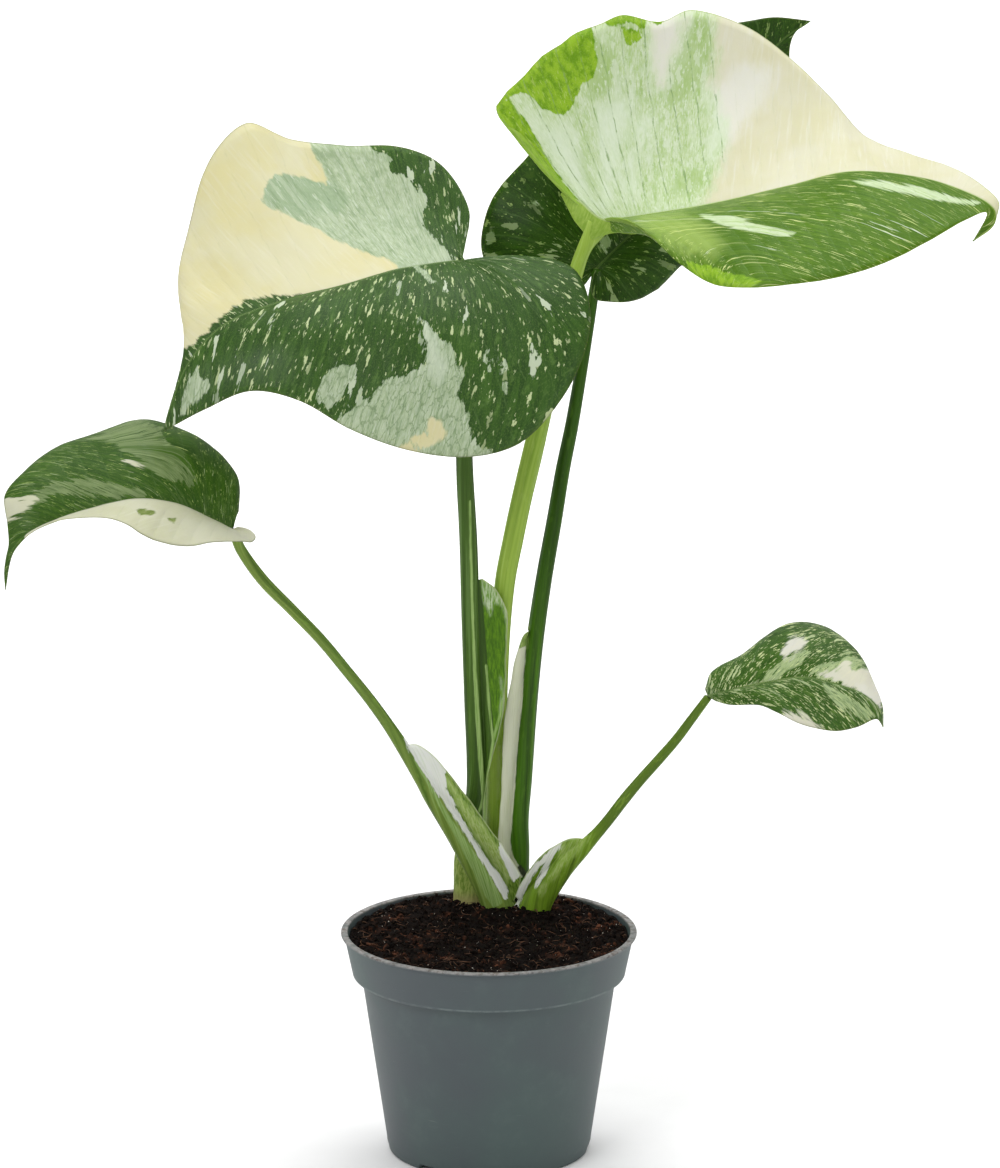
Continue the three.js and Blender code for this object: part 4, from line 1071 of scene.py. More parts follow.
def blade_material(name, look, seed):
    s = Shader(name)
    grain = s.attribute("grain")
    side, _, beneath = s.split(grain)
    rib_gap, rim_gap, vein_count = s.split(s.attribute("lines"))
    in_cream, in_mint, in_lime = s.split(s.attribute("paint"))
    in_tint, in_highlight, vein_width = s.split(s.attribute("wash"))
    place = s.place()
    n = leaf_noises(s, grain, place, seed)
    wander = s.plus(s.swing(n.flames, look.ragged), s.swing(n.mottle, look.ragged * 0.7))

    def near(far_value, near_value):
        return s.step(side, *NEAR_BOUNDS, far_value, near_value)

    def sector(field, ground, over, soft, amount=1.0, ragged=1.0):
        field = s.plus(field, s.times(wander, ragged))
        return s.lay(ground, over, field, -soft, soft, amount)

    green, lime = green_tissue(s, look, n, grain)
    mint = mint_tissue(s, look, n, grain, in_tint, near)
    cream = cream_tissue(s, look, n)
    green = sector(in_tint, green, look.light_pale, look.wash_soft, look.green_tint)
    # Painted highlight: glossy streaks lighten the mint and the cream inside the highlight
    # outlines.
    mint = sector(in_highlight, mint, look.gloss, look.wash_soft, look.gloss_strength)
    cream = sector(in_highlight, cream, look.cream_light, look.wash_soft, 0.9)
    top = sector(in_mint, green, mint, look.mint_soft, ragged=look.mint_ragged)
    top = sector(in_cream, top, cream, look.cream_soft, ragged=look.cream_ragged)
    top = sector(in_lime, top, lime, 0.9, ragged=look.light_ragged)
    # Side veins, midrib and margin. The veins wander a little.
    vein = s.math("PINGPONG", s.plus(vein_count, s.swing(n.flames, 0.45)), 0.5)
    vein = s.times(vein, vein_width)
    top = s.mix(side_veins(s, look, n, near, vein, rib_gap, in_cream), top, look.vein)
    top = s.lay(top, look.rib, rib_gap, 1.0, 0.3, look.rib_strength)
    top = s.lay(top, look.rim, rim_gap, 0.7, 0.15, look.rim_strength)
    # Underside: paler and duller, with the same sectors showing through.
    under = s.mix(look.under_amount, top, look.under)
    under = s.lay(under, look.rib, vein, 0.9, 0.2, 0.4)
    under = s.lay(under, look.rib, rib_gap, 2.2, 0.8, 0.8)
    dull, relief = leaf_skin(s, look, n, place, beneath)
    s.translucent(look.glow, 0.002, (0.8, 1.0, 0.35))
    s.shine(look.shine)
    return s.finish(s.mix(beneath, top, under), dull, relief, look.bump, 0.0004)


def stalk_noises(s, grain, shift):
    return SimpleNamespace(
        stripes=s.strands(grain, 0.42, 0.007, shift, 4, 0.55),
        fibres=s.strands(grain, 2.6, 0.05, shift, 4, 0.6),
        patches=s.strands(grain, 0.5, 0.09, shift + 4, 5, 0.65),
        fine=s.strands(grain, 1.4, 0.24, shift + 9, 5, 0.7),
    )


def stalk_green(s, look, n, height):
    ground = s.lay(look.green_deep, look.green, n.stripes, 0.36, 0.62)
    ground = s.lay(ground, look.green_light, n.fibres, 0.4, 0.7, 0.35)
    ground = s.lay(ground, look.stripe, n.stripes, look.stripe_gate, look.stripe_gate + 0.05, 0.7)
    # Painted shade: the stalk darkens upwards between two heights.
    ground = s.lay(ground, look.green_deep, height, *look.dim)
    return s.lay(ground, look.green_light, n.patches, 0.55, 0.66, look.streaks)


def sheath_green(s, look, n):
    """The sheath is thinner, brighter and more mottled than the stalk it grows from."""
    leafy = s.lay(look.flap_deep, look.flap, n.fine, 0.36, 0.64)
    leafy = s.lay(leafy, look.flap_deep, n.patches, 0.42, 0.66, 0.5)
    return s.lay(leafy, look.flap_light, n.fine, 0.6, 0.72, 0.6)


def petiole_material(name, look, seed):
    s = Shader(name)
    grain = s.attribute("grain")
    _, height, border = s.split(grain)
    flap, to_edge, in_foot = s.split(s.attribute("lines"))
    in_cream, in_mint, in_light = s.split(s.attribute("paint"))
    n = stalk_noises(s, grain, seed * 9.1)
    sheath = s.times(s.step(flap, 0.3, 1.1), s.step(border, -0.5, 0.7))
    ground = s.mix(sheath, stalk_green(s, look, n, height), sheath_green(s, look, n))
    # Painted shade in the crease at the sheath's root and in a line along the border of its leafy
    # part.
    crease = s.times(s.step(flap, 0, 0.3), s.step(flap, 1.4, 0.5))
    crease = s.math("MAXIMUM", crease, s.step(s.math("ABSOLUTE", border), 1.3, 0.3))
    ground = s.mix(s.times(crease, look.crease), ground, look.green_deep)
    wander = s.plus(s.swing(n.patches, look.ragged), s.swing(n.fine, look.ragged * 0.6))

    def band(field, under, over, soft, ragged):
        return s.lay(under, over, s.plus(field, s.times(wander, ragged)), -soft, soft)

    pale = s.lay(look.pale, look.flap, n.fine, 0.38, 0.64)
    pale = s.lay(pale, look.mint_deep, n.fibres, 0.48, 0.66, 0.5)
    mint = s.lay(look.mint, look.mint_deep, n.fibres, 0.42, 0.62)
    cream = s.lay(look.cream, look.cream_deep, n.fibres, 0.46, 0.66, 0.7)
    foot = s.lay(look.foot_deep, look.foot, n.fine, 0.4, 0.6)
    foot = s.lay(foot, look.foot_low, height, 13, 5, look.low_amount)
    base = band(in_light, ground, pale, 2.4, 1.4)
    base = band(in_mint, base, mint, 0.7, 0.3)
    base = band(in_cream, base, cream, 0.6, 0.8)
    base = band(in_foot, base, foot, 1.2, 0.6)
    # The sheath's free edge is thin, pale and a little dry.
    free = s.times(s.step(to_edge, 0.9, 0.2), s.step(flap, 1.0, 3.0))
    base = s.mix(s.times(free, 0.5), base, look.edge)
    s.translucent(0.1, 0.0015, (0.8, 1.0, 0.4))
    s.shine(0.2)
    relief = s.plus(n.fibres, s.times(n.stripes, 0.6))
    return s.finish(base, s.step(n.patches, 0.35, 0.7, 0.38, 0.52), relief, 0.3, 0.0004)


def pot_material():
    s = Shader("pot_plastic")
    place = s.place()
    height = s.split(place)[2]
    clouds = s.noise(place, 14, 5, 0.6)
    fine = s.noise(place, 900, 3)
    blotch = s.noise(place, 55, 6, 0.7)
    scuffs = s.noise(s.stretched(place, 60, 60, 900), 1, 4, 0.7)
    base = s.lay(colour("444c50"), colour("485856"), clouds, 0.3, 0.7)
    base = s.lay(base, colour("586464"), blotch, 0.52, 0.75, 0.25)
    base = s.lay(base, colour("808c8a"), scuffs, 0.66, 0.76, 0.25)
    # The lip is lightened by a painted highlight mixed with dust, with brown dirt in spots; a thin
    # line on the collar's lower edge is a painted highlight.
    wear_and_sheen = s.noise(place, 160, 5, 0.7)
    lip_highlight_and_dust = s.step(height, (POT_HEIGHT - 1.0) * MM, (POT_HEIGHT - 0.2) * MM)
    lip_highlight_and_dust = s.times(lip_highlight_and_dust, s.step(wear_and_sheen, 0.3, 0.62, 0.35, 1.0))
    dirt = s.noise(place, 420, 4, 0.7)
    base = s.mix(lip_highlight_and_dust, base, s.lay(colour("92908e"), colour("5c504a"), dirt, 0.45, 0.66))
    # Painted highlight: a thin pale line along the collar's lower edge.
    near = s.math("ABSOLUTE", s.math("SUBTRACT", height, COLLAR_EDGE_Z * MM))
    edge = s.times(s.step(near, 0.0006, 0.0002), s.step(wear_and_sheen, 0.35, 0.6, 0.05, 0.35))
    base = s.mix(edge, base, colour("7e8a88"))
    relief = s.plus(s.times(fine, 0.4), s.times(blotch, 0.3))
    dull = s.plus(s.step(clouds, 0.3, 0.7, 0.46, 0.58), s.times(fine, 0.06))
    return s.finish(base, dull, relief, 0.12, 0.0004)


def soil_material(name, dark, brown, red):
    s = Shader(name)
    place = s.place()
    grains = s.noise(place, 700, 6, 0.7)
    fine = s.noise(place, 2400, 4, 0.7)
    base = s.lay(colour(dark), colour(brown), grains, 0.38, 0.66)
    base = s.lay(base, colour(red), s.noise(place, 120, 4), 0.54, 0.68, 0.8)
    base = s.lay(base, colour("604e3e"), fine, 0.62, 0.8, 0.45)
    s.shine(0.1)
    relief = s.plus(grains, s.times(fine, 0.5))
    return s.finish(base, s.step(fine, 0.3, 0.7, 0.71, 0.93), relief, 0.7, 0.0008)


def loose_material(name, dark, pale, spots, grain, dull):
    """Bark or mineral: two hues in soft spots, over a fine rough grain."""
    s = Shader(name)
    place = s.place()
    fine = s.noise(place, *grain)
    base = s.lay(colour(dark), colour(pale), s.noise(place, *spots), 0.35, 0.65)
    return s.finish(base, s.step(fine, 0.3, 0.7, *dull), fine, 0.5, 0.0003)


def crown_material():
    s = Shader("crown_stem")
    place = s.place()
    rings = s.noise(s.stretched(place, 60, 60, 700), 1, 5, 0.65)
    spots = s.noise(place, 300, 5, 0.7)
    base = s.lay(colour("607034"), colour("969860"), rings, 0.38, 0.64)
    base = s.lay(base, colour("564028"), spots, 0.52, 0.72, 0.8)
    relief = s.plus(rings, s.times(spots, 0.6))
    return s.finish(base, s.step(spots, 0.3, 0.7, 0.55, 0.8), relief, 0.5, 0.0006)


def floor_material():
    s = Shader("floor_paper")
    fibre = s.noise(s.place(), 40, 4)
    base = s.lay((0.86, 0.86, 0.86, 1), (0.88, 0.88, 0.88, 1), fibre, 0.3, 0.7)
    return s.finish(base, s.step(fibre, 0.3, 0.7, 0.85, 0.95))


# Looks of the blades. Flecks are (cells across the veins and along them per mm, share kept,
# size, hue). A light, pale or deep hue goes with the plain one of its name. The values that end
# in soft and ragged are pixels on the photograph. The hue of the glossy streaks is a painted
# highlight, laid as a wash and as small glints among the mint flecks.
LEAF_BASE = dict(
    deep="24420e", green="36581a", bright="5c7c3a", freckles=0.5, mottles=0.35, mint="96a682",
    mint_light="b0bea2", mint_deep="7a906a", mint_cells=0.4, mint_strands=0.35, mint_flames=0.3,
    mint_soft=0.8, mint_net=0.6, mint_line="647c52", mint_contrast=0.6, far_net=0.12,
    mint_ragged=1.0, cream="d4cea2", cream_deep="d4cb96", cream_light="dcd7ba", cream_soft=1.6,
    cream_ragged=0.55, light="6e962c", light_deep="568220", light_pale="8cac4e", light_ragged=1.0,
    green_tint=0.0, near_vein=1.0, tint="869e76", tint_strength=0.55, gloss="c4ceba",
    gloss_strength=0.6, wash_soft=7.0, fleck="b8c494", ragged=22.0, rib="6e8c46", rib_strength=0.3,
    vein="5c7a42", vein_strength=0.3, rim="4e5830", rim_strength=0.55, under="8ca464",
    under_amount=0.42, roughness=0.4, bump=0.3, glow=0.1, shine=0.26,
    flecks=[(0.16, 0.06, 0.26, 0.27, "mint_light"), (0.34, 0.13, 0.36, 0.3, "fleck"),
            (0.85, 0.4, 0.26, 0.28, "fleck")],
    mint_flecks=[(0.4, 0.03, 0.55, 0.44, "mint_light"), (0.9, 0.07, 0.5, 0.42, "mint_deep"),
                 (1.3, 0.16, 0.45, 0.4, "gloss")],
)
LOOKS = {
    "a": dict(
        LEAF_BASE, mint_strands=0.5, tint_strength=0.6, mint="9cac8a", tint="889e7c",
        cream="ccc8a6", cream_deep="cbc496", cream_light="d3d0b8", mint_light="b6c2a8",
        mottles=0.45,
        flecks=[(0.17, 0.07, 0.32, 0.3, "mint_light"), (0.34, 0.13, 0.42, 0.32, "fleck"),
                (0.85, 0.36, 0.3, 0.3, "fleck")],
    ),
    "b": dict(
        LEAF_BASE, deep="3e6402", green="547a08", bright="72902a", freckles=0.45, mottles=0.4,
        mint="b0c58c", mint_light="ccd8be", mint_deep="96b468", mint_strands=0.3, mint_flames=0.35,
        mint_net=0.25, mint_line="8ca668", tint="94b064", gloss="d2dec6", gloss_strength=0.75,
        wash_soft=12.0, green_tint=0.55, mint_ragged=0.45, light_ragged=0.5, cream="d0ceb6",
        cream_deep="ccc9a8", cream_light="d8d8cc", fleck="beca80", mint_soft=1.0, cream_soft=9.0,
        cream_ragged=1.1, shine=0.2, near_vein=0.3, light="8ab026", light_deep="628e0c",
        light_pale="a6be60", rib="96b050", rib_strength=0.4, vein="7a965c", vein_strength=0.8,
        under="8cac46", rim="788e3c", rim_strength=0.5, roughness=0.34,
        mint_flecks=[(0.3, 0.1, 0.55, 0.45, "mint_light"), (0.55, 0.2, 0.5, 0.42, "mint_deep"),
                     (1.1, 0.4, 0.5, 0.42, "gloss")],
        flecks=[(0.2, 0.045, 0.2, 0.18, "mint_light"), (0.5, 0.12, 0.45, 0.26, "fleck"),
                (1.1, 0.3, 0.45, 0.28, "fleck")],
    ),
    "c": dict(
        LEAF_BASE, deep="1c3404", green="2a480c", bright="44621c", fleck="809656",
        mint_light="86986a", mint="748c5a", shine=0.14,
        flecks=[(0.16, 0.08, 0.34, 0.3, "mint_light"), (0.34, 0.16, 0.34, 0.3, "fleck"),
                (0.9, 0.45, 0.35, 0.26, "fleck")],
    ),
    # Leaf D's cream hues are darker than the other leaves': painted shade on its hanging near half.
    "d": dict(
        LEAF_BASE, deep="264608", green="395b10", bright="5a7434", mint="607446",
        mint_light="809162", under_amount=0.15, mint_deep="425c28", shine=0.2, fleck="96a862",
        mint_line="46622c", under="babc96", mottles=0.7, cream="c2c2ac", cream_deep="baba9e",
        cream_light="c8c8b8", ragged=26.0, mint_contrast=0.9, light="768646", light_deep="627432",
        light_pale="969e68", light_ragged=0.25, rib_strength=0.1, cream_ragged=1.0,
        mint_flecks=[(0.5, 0.05, 0.55, 0.45, "green"), (1.0, 0.12, 0.5, 0.42, "deep"),
                     (1.4, 0.2, 0.5, 0.42, "mint_light")],
        flecks=[(0.4, 0.05, 0.4, 0.32, "mint_deep"), (0.6, 0.14, 0.4, 0.28, "mint_light"),
                (1.3, 0.36, 0.45, 0.28, "fleck")],
    ),
    "e": dict(
        LEAF_BASE, deep="284a08", green="3a5e16", bright="628238", fleck="c2cc96", mottles=0.6,
        ragged=20.0, cream_ragged=1.2, cream_soft=2.5, mint="90a46c", mint_light="b0be90",
        mint_contrast=0.9, cream="d2d1c8", cream_deep="ceccba",
        mint_flecks=[(0.6, 0.16, 0.5, 0.42, "green"), (1.2, 0.4, 0.5, 0.42, "fleck"),
                     (1.6, 0.5, 0.45, 0.4, "deep")],
        flecks=[(0.3, 0.1, 0.5, 0.32, "mint_light"), (0.75, 0.28, 0.6, 0.36, "fleck"),
                (1.5, 0.6, 0.6, 0.36, "fleck")],
    ),
}

# Looks of the stalks. dim is the start, end and strength, in mm, of a painted shade that darkens
# the stalk upwards.
STALK_BASE = dict(
    green="587c22", green_light="7a9c3c", green_deep="385c12", stripe="8ca85c", stripe_gate=0.6,
    streaks=0.4, mint="96b26a", mint_deep="709242", cream="ced1c8", cream_deep="b2c09e",
    edge="b4be92", ragged=5.0, flap="688a28", flap_deep="426412", crease=0.5, foot="a0b25c",
    foot_deep="6a862e", foot_low="a49a68", low_amount=0.0, flap_light="7c9c42", pale="a0b468",
    dim=(0, 1, 0.0),
)
STALK_LOOKS = {
    "a": dict(
        STALK_BASE, green="3e5c16", green_deep="28420a", green_light="507226", flap="5a860a",
        flap_deep="385e03", stripe="5c7a3a", low_amount=0.85, crease=0.8, pale="bac8a6",
        streaks=0.25, flap_light="709636",
    ),
    "b": dict(
        STALK_BASE, green="96b344", green_deep="7e9e32", green_light="a4be5c", stripe="a8c262",
        flap="96b14c", flap_deep="7c9c34", flap_light="a4bc60",
    ),
    "c": dict(
        STALK_BASE, green="406c08", green_deep="244403", green_light="52781e", stripe="5c822a",
        stripe_gate=0.64, cream="d2d5be", cream_deep="c4c8a4", flap="3e6410", flap_deep="365a0c",
        crease=0.2, flap_light="547824", dim=(105, 150, 0.5), foot="424a34", foot_deep="22281c",
    ),
    "d": dict(
        STALK_BASE, green="788e3e", green_deep="4c6820", flap="829c42", flap_deep="426410",
        flap_light="a8bc70", pale="acbe78", ragged=9.0, cream="dee0da", cream_deep="c8d2ba",
    ),
    "e": dict(
        STALK_BASE, green="729622", green_deep="4e681a", green_light="90b040", flap="76981e",
        ragged=13.0, flap_light="a0b656", dim=(40, 58, 0.8), cream="dcded6",
    ),
}


# Pot.
def arc(centre, radius, start, end, steps):
    angles = np.radians(np.linspace(start, end, steps))
    return [(centre[0] + radius * math.cos(a), centre[1] + radius * math.sin(a)) for a in angles]


def slope(start, end, first, steps):
    """Points on a straight stretch of the profile, from a share of it to its end."""
    (r, z), (end_r, end_z) = start, end
    return [(r + (end_r - r) * t, z + (end_z - z) * t) for t in np.linspace(first, 1, steps)]


def pot_profile():
    """Radius and height round the pot's section, from the pad up outside and down inside."""
    lip_z = POT_HEIGHT - LIP_THICKNESS
    ring_inner = FOOT_RADIUS - FOOT_RING_WIDTH
    round_lip = LIP_THICKNESS / 2
    foot, top = (BODY_FOOT_RADIUS, BODY_FOOT_Z), (BODY_TOP_RADIUS, COLLAR_EDGE_Z - STEP_IN)
    return [
        (PAD_RADIUS - 0.4, 0), (PAD_RADIUS, 0.4), (PAD_RADIUS, FLOOR_LIFT),
        (ring_inner, FLOOR_LIFT), (ring_inner, 0.3), (ring_inner + 0.3, 0),
        *arc((FOOT_RADIUS - 0.8, 1.2), 1.2, -90, -10, 6),
        (BODY_FOOT_RADIUS - 0.4, 2.2), (BODY_FOOT_RADIUS + 0.1, BODY_FOOT_Z),
        *slope(foot, top, 0.04, 24),
        (BODY_TOP_RADIUS + 0.3, COLLAR_EDGE_Z - 1.6),
        (COLLAR_EDGE_RADIUS - 1.0, COLLAR_EDGE_Z - 0.7),
        *arc((COLLAR_EDGE_RADIUS - 0.5, COLLAR_EDGE_Z - 0.1), 0.5, -80, 5, 5),
        *slope((COLLAR_EDGE_RADIUS, COLLAR_EDGE_Z), (COLLAR_TOP_RADIUS, lip_z - 0.9), 0.06, 8),
        (COLLAR_TOP_RADIUS + 0.2, lip_z - 0.3),
        *arc((LIP_RADIUS - round_lip, lip_z + round_lip), round_lip, -80, 90, 9),
        (COLLAR_TOP_RADIUS - WALL + 0.5, POT_HEIGHT),
        *arc((COLLAR_TOP_RADIUS - WALL + 0.4, POT_HEIGHT - 0.4), 0.4, 90, 180, 4),
        (COLLAR_TOP_RADIUS - WALL - 0.3, lip_z - 1),
        (COLLAR_EDGE_RADIUS - WALL - 0.2, COLLAR_EDGE_Z + 0.4),
        (BODY_TOP_RADIUS - WALL, COLLAR_EDGE_Z - STEP_IN - 0.4),
        (BODY_FOOT_RADIUS - WALL + 0.3, FLOOR_TOP + 1),
        (BODY_FOOT_RADIUS - WALL - 0.7, FLOOR_TOP),
    ]


def in_notch(angle):
    gaps = [abs((angle - a + math.pi) % (2 * math.pi) - math.pi) for a in NOTCH_ANGLES]
    return min(gaps) < NOTCH_HALF_ANGLE


def circle(count, radius, first=0.0):
    """Points round the axis, the first one turned by a share of a step."""
    angles = [2 * math.pi * (k + first) / count for k in range(count)]
    return [(radius * math.cos(a), radius * math.sin(a)) for a in angles]


def drain_holes(pot):
    cutters = []
    for x, y in circle(6, DRAIN_CIRCLE, 0.5):
        place = (x * MM, y * MM, CUTTER_Z * MM)
        bpy.ops.mesh.primitive_cylinder_add(vertices=28, radius=DRAIN_RADIUS * MM,
                                            depth=CUTTER_LENGTH * MM, location=place)
        cut = pot.modifiers.new("drain", "BOOLEAN")
        cut.object = bpy.context.object
        cut.operation = "DIFFERENCE"
        cut.solver = "EXACT"
        cutters.append(cut.object)
    graph = bpy.context.evaluated_depsgraph_get()
    mesh = bpy.data.meshes.new_from_object(pot.evaluated_get(graph))
    pot.modifiers.clear()
    pot.data = mesh
    for cutter in cutters:
        bpy.data.objects.remove(cutter, do_unlink=True)


def pot_mesh(material):
    profile = pot_profile()
    points = [(0, 0, 0), (0, 0, FLOOR_TOP)]
    for k in range(POT_SEGMENTS):
        angle = 2 * math.pi * k / POT_SEGMENTS
        for r, z in profile:
            if in_notch(angle) and r > FOOT_RADIUS - FOOT_RING_WIDTH - 0.1:
                z = max(z, FLOOR_LIFT)
            points.append((r * math.cos(angle), r * math.sin(angle), z))
    faces = []
    count = len(profile)
    for k in range(POT_SEGMENTS):
        here = 2 + k * count
        there = 2 + (k + 1) % POT_SEGMENTS * count
        faces.append((0, there, here))
        faces.append((1, here + count - 1, there + count - 1))
        for j in range(count - 1):
            faces.append((here + j, there + j, there + j + 1, here + j + 1))
    pot = make_object("pot_body", points, faces, material)
    drain_holes(pot)
    pot.data.polygons.foreach_set("use_smooth", [True] * len(pot.data.polygons))
    pot.data.set_sharp_from_angle(angle=math.radians(35))
    return pot


# Soil.
def dressed_height(x, y):
    """Height of the lumpy soil, heaped at the crown and a little above the solid's top."""
    east, north = x - HEAP_CENTRE[0], y - HEAP_CENTRE[1]
    away = np.hypot(east / 1.3, north)
    level = SOIL_EDGE_Z + (SOIL_CROWN_Z - SOIL_EDGE_Z) * ridge(away, HEAP_WIDTH)
    lumps = (np.sin(0.61 * x + 1.3) * np.sin(0.53 * y + 0.4)
             + 0.7 * np.sin(0.31 * x - 0.47 * y + 2.1) + 0.6 * np.sin(1.1 * x + 0.9 * y))
    level = level + LUMP_HEIGHT * lumps * smooth(away, *LUMPS_FROM)
    extra = 1 - smooth(np.hypot(east / 1.6, north), *EXTRA_TO)
    return level + DRESSING + DRESSING * extra


def soil_surface(material):
    """A closed body that fills the pot, its top rough from clods down to grains."""
    points = [(0, 0, dressed_height(0.0, 0.0))]
    for r in np.linspace(0.5, SOIL_RADIUS, SOIL_RINGS):
        inside = float(smooth(SOIL_RADIUS - r, -1, 2))
        for x, y in circle(SOIL_SPOKES, r):
            rough = noise.fractal(Vector((x * 0.32, y * 0.32, 3.1)), 1.0, 2.0, 5)
            points.append((x, y, dressed_height(x, y) + ROUGHNESS_HEIGHT * rough * inside - 0.2))
    # Radius and height of the body's side, a little inside the pot's wall.
    walls = [(COLLAR_EDGE_RADIUS - WALL - 0.9, COLLAR_EDGE_Z + 0.6),
             (BODY_TOP_RADIUS - WALL - 0.5, COLLAR_EDGE_Z - 3.3),
             (BODY_FOOT_RADIUS - WALL - 0.8, SOIL_FLOOR_Z + 1), (38.5, SOIL_FLOOR_Z)]
    for r, z in walls:
        points += [(x, y, z) for x, y in circle(SOIL_SPOKES, r)]
    points.append((0, 0, SOIL_FLOOR_Z))
    ids = 1 + np.arange(SOIL_SPOKES * (SOIL_RINGS + len(walls))).reshape(-1, SOIL_SPOKES)
    faces = []
    for here, there in zip(ids.T, np.roll(ids, -1, axis=1).T):
        faces.append((0, here[0], there[0]))
        faces += list(zip(here[:-1], here[1:], there[1:], there[:-1]))
        faces.append((len(points) - 1, there[-1], here[-1]))
    return make_object("soil_surface", points, faces, material)


def unit_lump():
    """Vertices and faces of a twenty sided ball."""
    t = (1 + 5**0.5) / 2
    points = np.array([(-1, t, 0), (1, t, 0), (-1, -t, 0), (1, -t, 0), (0, -1, t), (0, 1, t),
                       (0, -1, -t), (0, 1, -t), (t, 0, -1), (t, 0, 1), (-t, 0, -1), (-t, 0, 1)])
    points /= np.linalg.norm(points[0])
    faces = np.array([(0, 11, 5), (0, 5, 1), (0, 1, 7), (0, 7, 10), (0, 10, 11), (1, 5, 9),
                      (5, 11, 4), (11, 10, 2), (10, 7, 6), (7, 1, 8), (3, 9, 4), (3, 4, 2),
                      (3, 2, 6), (3, 6, 8), (3, 8, 9), (4, 9, 5), (2, 4, 11), (6, 2, 10),
                      (8, 6, 7), (9, 8, 1)])
    return points, faces


def scatter_spots(count):
    radius = CRUMB_REACH * np.sqrt(RNG.random(count))
    angle = 2 * math.pi * RNG.random(count)
    return np.stack([radius * np.cos(angle), radius * np.sin(angle)], 1)


def lumps_object(name, count, smallest, largest, lift, material):
    base, faces = unit_lump()
    spots = scatter_spots(count)
    points = []
    sizes = smallest * (largest / smallest) ** (RNG.random(count) ** 2.2)
    heights = dressed_height(spots[:, 0], spots[:, 1])
    for spot, size, height in zip(spots, sizes, heights):
        turn = Matrix.Rotation(RNG.random() * 6.28, 3, Vector(RNG.normal(size=3)).normalized())
        stretch = np.array([1, 0.55 + 0.6 * RNG.random(), 0.45 + 0.45 * RNG.random()])
        jitter = 1 + 0.28 * RNG.normal(size=(len(base), 1))
        shape = (base * jitter * stretch) @ np.array(turn) * size / 2
        pull = min(1.0, CLOD_REACH / (math.hypot(*spot) + size * 0.6))
        points.append(shape + np.array((*(spot * pull), height + lift * size)))
    faces = [faces + len(base) * i for i in range(count)]
    return make_object(name, np.concatenate(points), np.concatenate(faces), material,
                       rounded=False)


def fibres_object(count, material):
    """Short bent strands of peat and bark lying on the soil."""
    points, faces = [], []
    for x, y in scatter_spots(count):
        length = 2.0 + 6.5 * RNG.random() ** 2
        turn = 2 * math.pi * RNG.random()
        curve = RNG.normal() * 0.9
        thick = 0.09 + 0.16 * RNG.random()
        rise = RNG.random() * 0.9
        a = len(points)
        for t in np.linspace(-0.5, 0.5, FIBRE_RINGS):
            heading = turn + curve * t
            px = x + math.cos(heading) * length * t
            py = y + math.sin(heading) * length * t
            pull = min(1.0, FIBRE_REACH / math.hypot(px, py))
            px, py = px * pull, py * pull
            pz = dressed_height(px, py) + 0.3 + rise * (1 - 4 * t * t)
            size = thick * (1.15 - 1.6 * abs(t))
            side = Vector((-math.sin(heading), math.cos(heading), 0)) * size
            for spoke in (side, Vector((0, 0, size)), -side):
                points.append((px + spoke.x, py + spoke.y, pz + spoke.z))
        rings = np.arange(a, len(points)).reshape(-1, 3)
        rings = np.concatenate([rings, rings[:, :1]], 1)
        faces += grid_quads(rings).tolist()
        faces += [rings[0, [0, 2, 1]].tolist(), rings[-1, :3].tolist()]
    return make_object("soil_fibres", points, faces, material)


# Assembly.
def ride(obj):
    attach(obj, "root")


def build_pot():
    pot = pot_mesh(pot_material())
    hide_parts("pot")
    ride(pot)


def build_soil():
    surface = soil_surface(soil_material("soil_ground", "0a0706", "18110d", "2e1c14"))
    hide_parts("soil")
    ride(surface)
    clods = soil_material("soil_clods", "090706", "221610", "66402e")
    specks = loose_material("speck_mineral", "968a7a", "cec8be", (1800, 4), (1800, 4), (0.55, 0.8))
    fibres = loose_material("fibre_bark", "2e1c12", "62422c", (260, 4), (2200, 3), (0.7, 0.9))
    for name, count, smallest, largest, lift, material in (
        ("soil_crumbs", 4200, 0.5, 1.9, 0.25, clods),
        ("soil_clumps", 520, 1.5, 3.4, 0.12, clods),
        ("soil_specks", 240, 0.25, 0.65, 0.55, specks),
    ):
        ride(lumps_object(name, count, smallest, largest, lift, material))
    ride(fibres_object(300, fibres))


def dress_crown():
    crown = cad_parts["crown"]
    crown.data.materials.clear()
    crown.data.materials.append(crown_material())


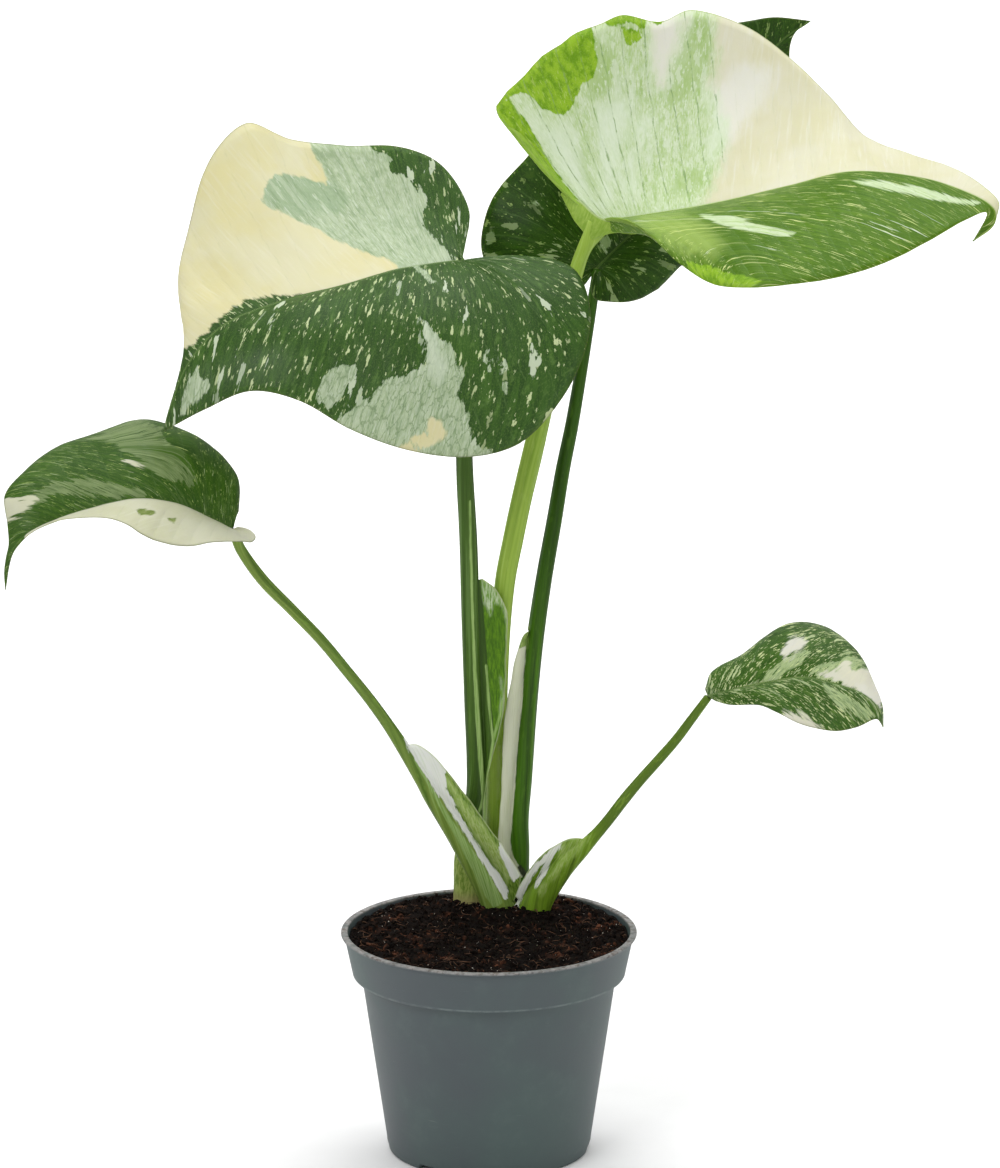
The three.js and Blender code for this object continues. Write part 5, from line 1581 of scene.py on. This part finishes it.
def build_leaf(letter, seed):
    plan, stalk_plan = (SimpleNamespace(**table[letter]) for table in (LEAVES, PETIOLES))
    leaf = blade_material(f"leaf_{letter}", read_look(LOOKS[letter]), seed)
    blade = blade_mesh(f"leaf_{letter}_blade", plan, PATCHES[letter], leaf)
    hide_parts(f"blade_{letter}")
    ride(blade)
    skin = petiole_material(f"stalk_{letter}", read_look(STALK_LOOKS[letter]), seed)
    stalk = petiole_mesh(f"leaf_{letter}_petiole", stalk_plan, STALK_PATCHES[letter], skin)
    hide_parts(f"petiole_{letter}")
    ride(stalk)
    return skin


def build_leaves():
    for seed, letter in enumerate(LEAVES, 1):
        skin = build_leaf(letter, seed)
        if letter == "b":
            ride(collar_mesh("leaf_b_collar", COLLAR_B, skin))


def area_light(name, place, target, size, power):
    light = bpy.data.lights.new(name, "AREA")
    light.shape = "RECTANGLE"
    light.size, light.size_y = size
    light.energy = power
    obj = bpy.data.objects.new(name, light)
    obj.location = place
    obj.rotation_euler = (Vector(target) - Vector(place)).to_track_quat("-Z", "Y").to_euler()
    bpy.context.scene.collection.objects.link(obj)
    return obj


def build_stage():
    bpy.ops.mesh.primitive_plane_add(size=14, location=(0, 1.5, 0))
    floor = bpy.context.object
    floor.name = "floor"
    floor.data.materials.append(floor_material())
    world = bpy.data.worlds.new("studio")
    world.use_nodes = True
    background = world.node_tree.nodes["Background"]
    background.inputs["Color"].default_value = (1, 1, 1, 1)
    background.inputs["Strength"].default_value = 0.42
    bpy.context.scene.world = world
    middle = (0, 0, 0.27)
    area_light("key", (-1.1, -1.5, 1.7), middle, (1.2, 1.2), 22)
    area_light("fill", (1.5, -1.2, 0.9), middle, (1.2, 1.2), 6)
    area_light("top", (0.2, 0.3, 1.9), middle, (1.4, 1.4), 10)
    backdrop = area_light("backdrop", (0, 2.6, 3.0), (0, 2.6, 0), (5, 3.5), 120)
    backdrop.data.spread = math.radians(120)
    backdrop.visible_glossy = False
    view = bpy.context.scene.view_settings
    view.view_transform = "Standard"
    view.look = "None"


def build_camera():
    camera = bpy.data.cameras.new("camera")
    camera.lens = LENS_MM
    camera.sensor_width = SENSOR_MM
    camera.clip_end = 20
    obj = bpy.data.objects.new("camera", camera)
    obj.location = [c * MM for c in CAMERA_PLACE]
    obj.rotation_euler = (math.pi / 2 - CAMERA_PITCH, 0, 0)
    bpy.context.scene.collection.objects.link(obj)
    bpy.context.scene.camera = obj


build_pot()
build_soil()
dress_crown()
build_leaves()
build_stage()
build_camera()
